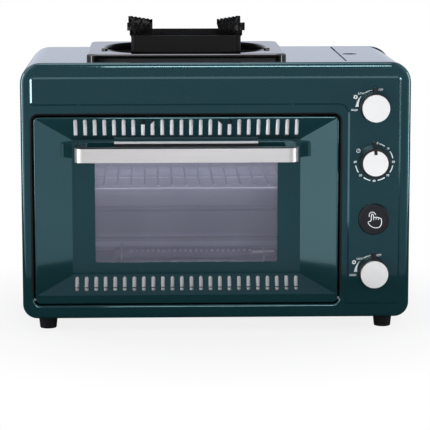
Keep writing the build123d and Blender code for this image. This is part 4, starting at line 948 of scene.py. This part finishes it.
def islands(name):
    """Vertex places of each loose part of a CAD node."""
    same_place = 0.001 * MM
    mesh = bmesh.new()
    mesh.from_mesh(nodes[name].data)
    bmesh.ops.remove_doubles(mesh, verts=mesh.verts, dist=same_place)
    unreached = set(mesh.verts)
    parts = []
    while unreached:
        waiting = [unreached.pop()]
        part = []
        while waiting:
            vertex = waiting.pop()
            part.append(vertex.co.copy())
            for edge in vertex.link_edges:
                other = edge.other_vert(vertex)
                if other in unreached:
                    unreached.remove(other)
                    waiting.append(other)
        parts.append(part)
    mesh.free()
    return parts


def head_spread(part, middle, axis, end):
    """How far, squared, a screw reaches from its axis at one end."""
    face_depth = 0.3 * MM
    face = [place - middle for place in part if abs(place[axis] - end) < face_depth]
    return max(offset.length_squared - offset[axis] ** 2 for offset in face)


def screw_heads(name):
    """Middle and outward direction of each screw's head, which is its wider end."""
    heads = []
    for part in islands(name):
        low = Vector(min(place[axis] for place in part) for axis in range(3))
        high = Vector(max(place[axis] for place in part) for axis in range(3))
        spans = high - low
        axis = max(range(3), key=lambda i: spans[i])
        middle = (low + high) / 2
        wider_high = head_spread(part, middle, axis, high[axis]) > head_spread(part, middle, axis, low[axis])
        middle[axis] = high[axis] if wider_high else low[axis]
        heads.append((middle, axis, 1 if wider_high else -1))
    return heads


def add_screw_recesses(node_name, body, crosses):
    """Thin dark crosses on the heads of one node's screws, painted shade of their drive recesses."""
    length, width, depth = 3.2 * MM, 0.7 * MM, 0.06 * MM
    faces = {}
    for place, axis, outward in screw_heads(node_name):
        faces.setdefault((axis, outward), []).append(tuple(place))
    turns = {0: (0.0, pi / 2, 0.0), 1: (pi / 2, 0.0, 0.0), 2: (0.0, 0.0, 0.0)}
    for (axis, outward), places in sorted(faces.items()):
        name = f"{node_name}_recesses_{'XYZ'[axis]}{'high' if outward > 0 else 'low'}"
        mesh = crosses.grow(name, sorted(places), Length=length, Width=width, Depth=depth, Turn=turns[axis])
        finish_piece(name, mesh, recess_dark, body)


def add_port_rims():
    """Bright rims round the oven burner's row of ports."""
    low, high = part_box("oven_burner")
    radius = (high.z - low.z) / 2
    tilt = radians(35.0)
    count, pitch = 23, 7.0 * MM
    first = low.x + 22.0 * MM
    middle = centre("oven_burner")
    y, z = middle.y - radius * cos(tilt), middle.z + radius * sin(tilt)
    places = [(first + i * pitch, y, z) for i in range(count)]
    edge = ground_edge()
    mesh = wire_ring_pattern(edge).grow("port_rims", places, Radius=1.35 * MM, Wire=0.45 * MM,
                                        Tilt=(pi / 2 - tilt, 0.0, 0.0))
    finish_piece("port_rims", mesh, edge, "body")


drive_crosses = cross_pattern(recess_dark)
add_screw_recesses("case_screws", "body", drive_crosses)
add_screw_recesses("handle_screws", "door", drive_crosses)
add_port_rims()

# ---- End ----------------------------------------------------------------------------
bpy.context.scene.view_settings.view_transform = "Standard"
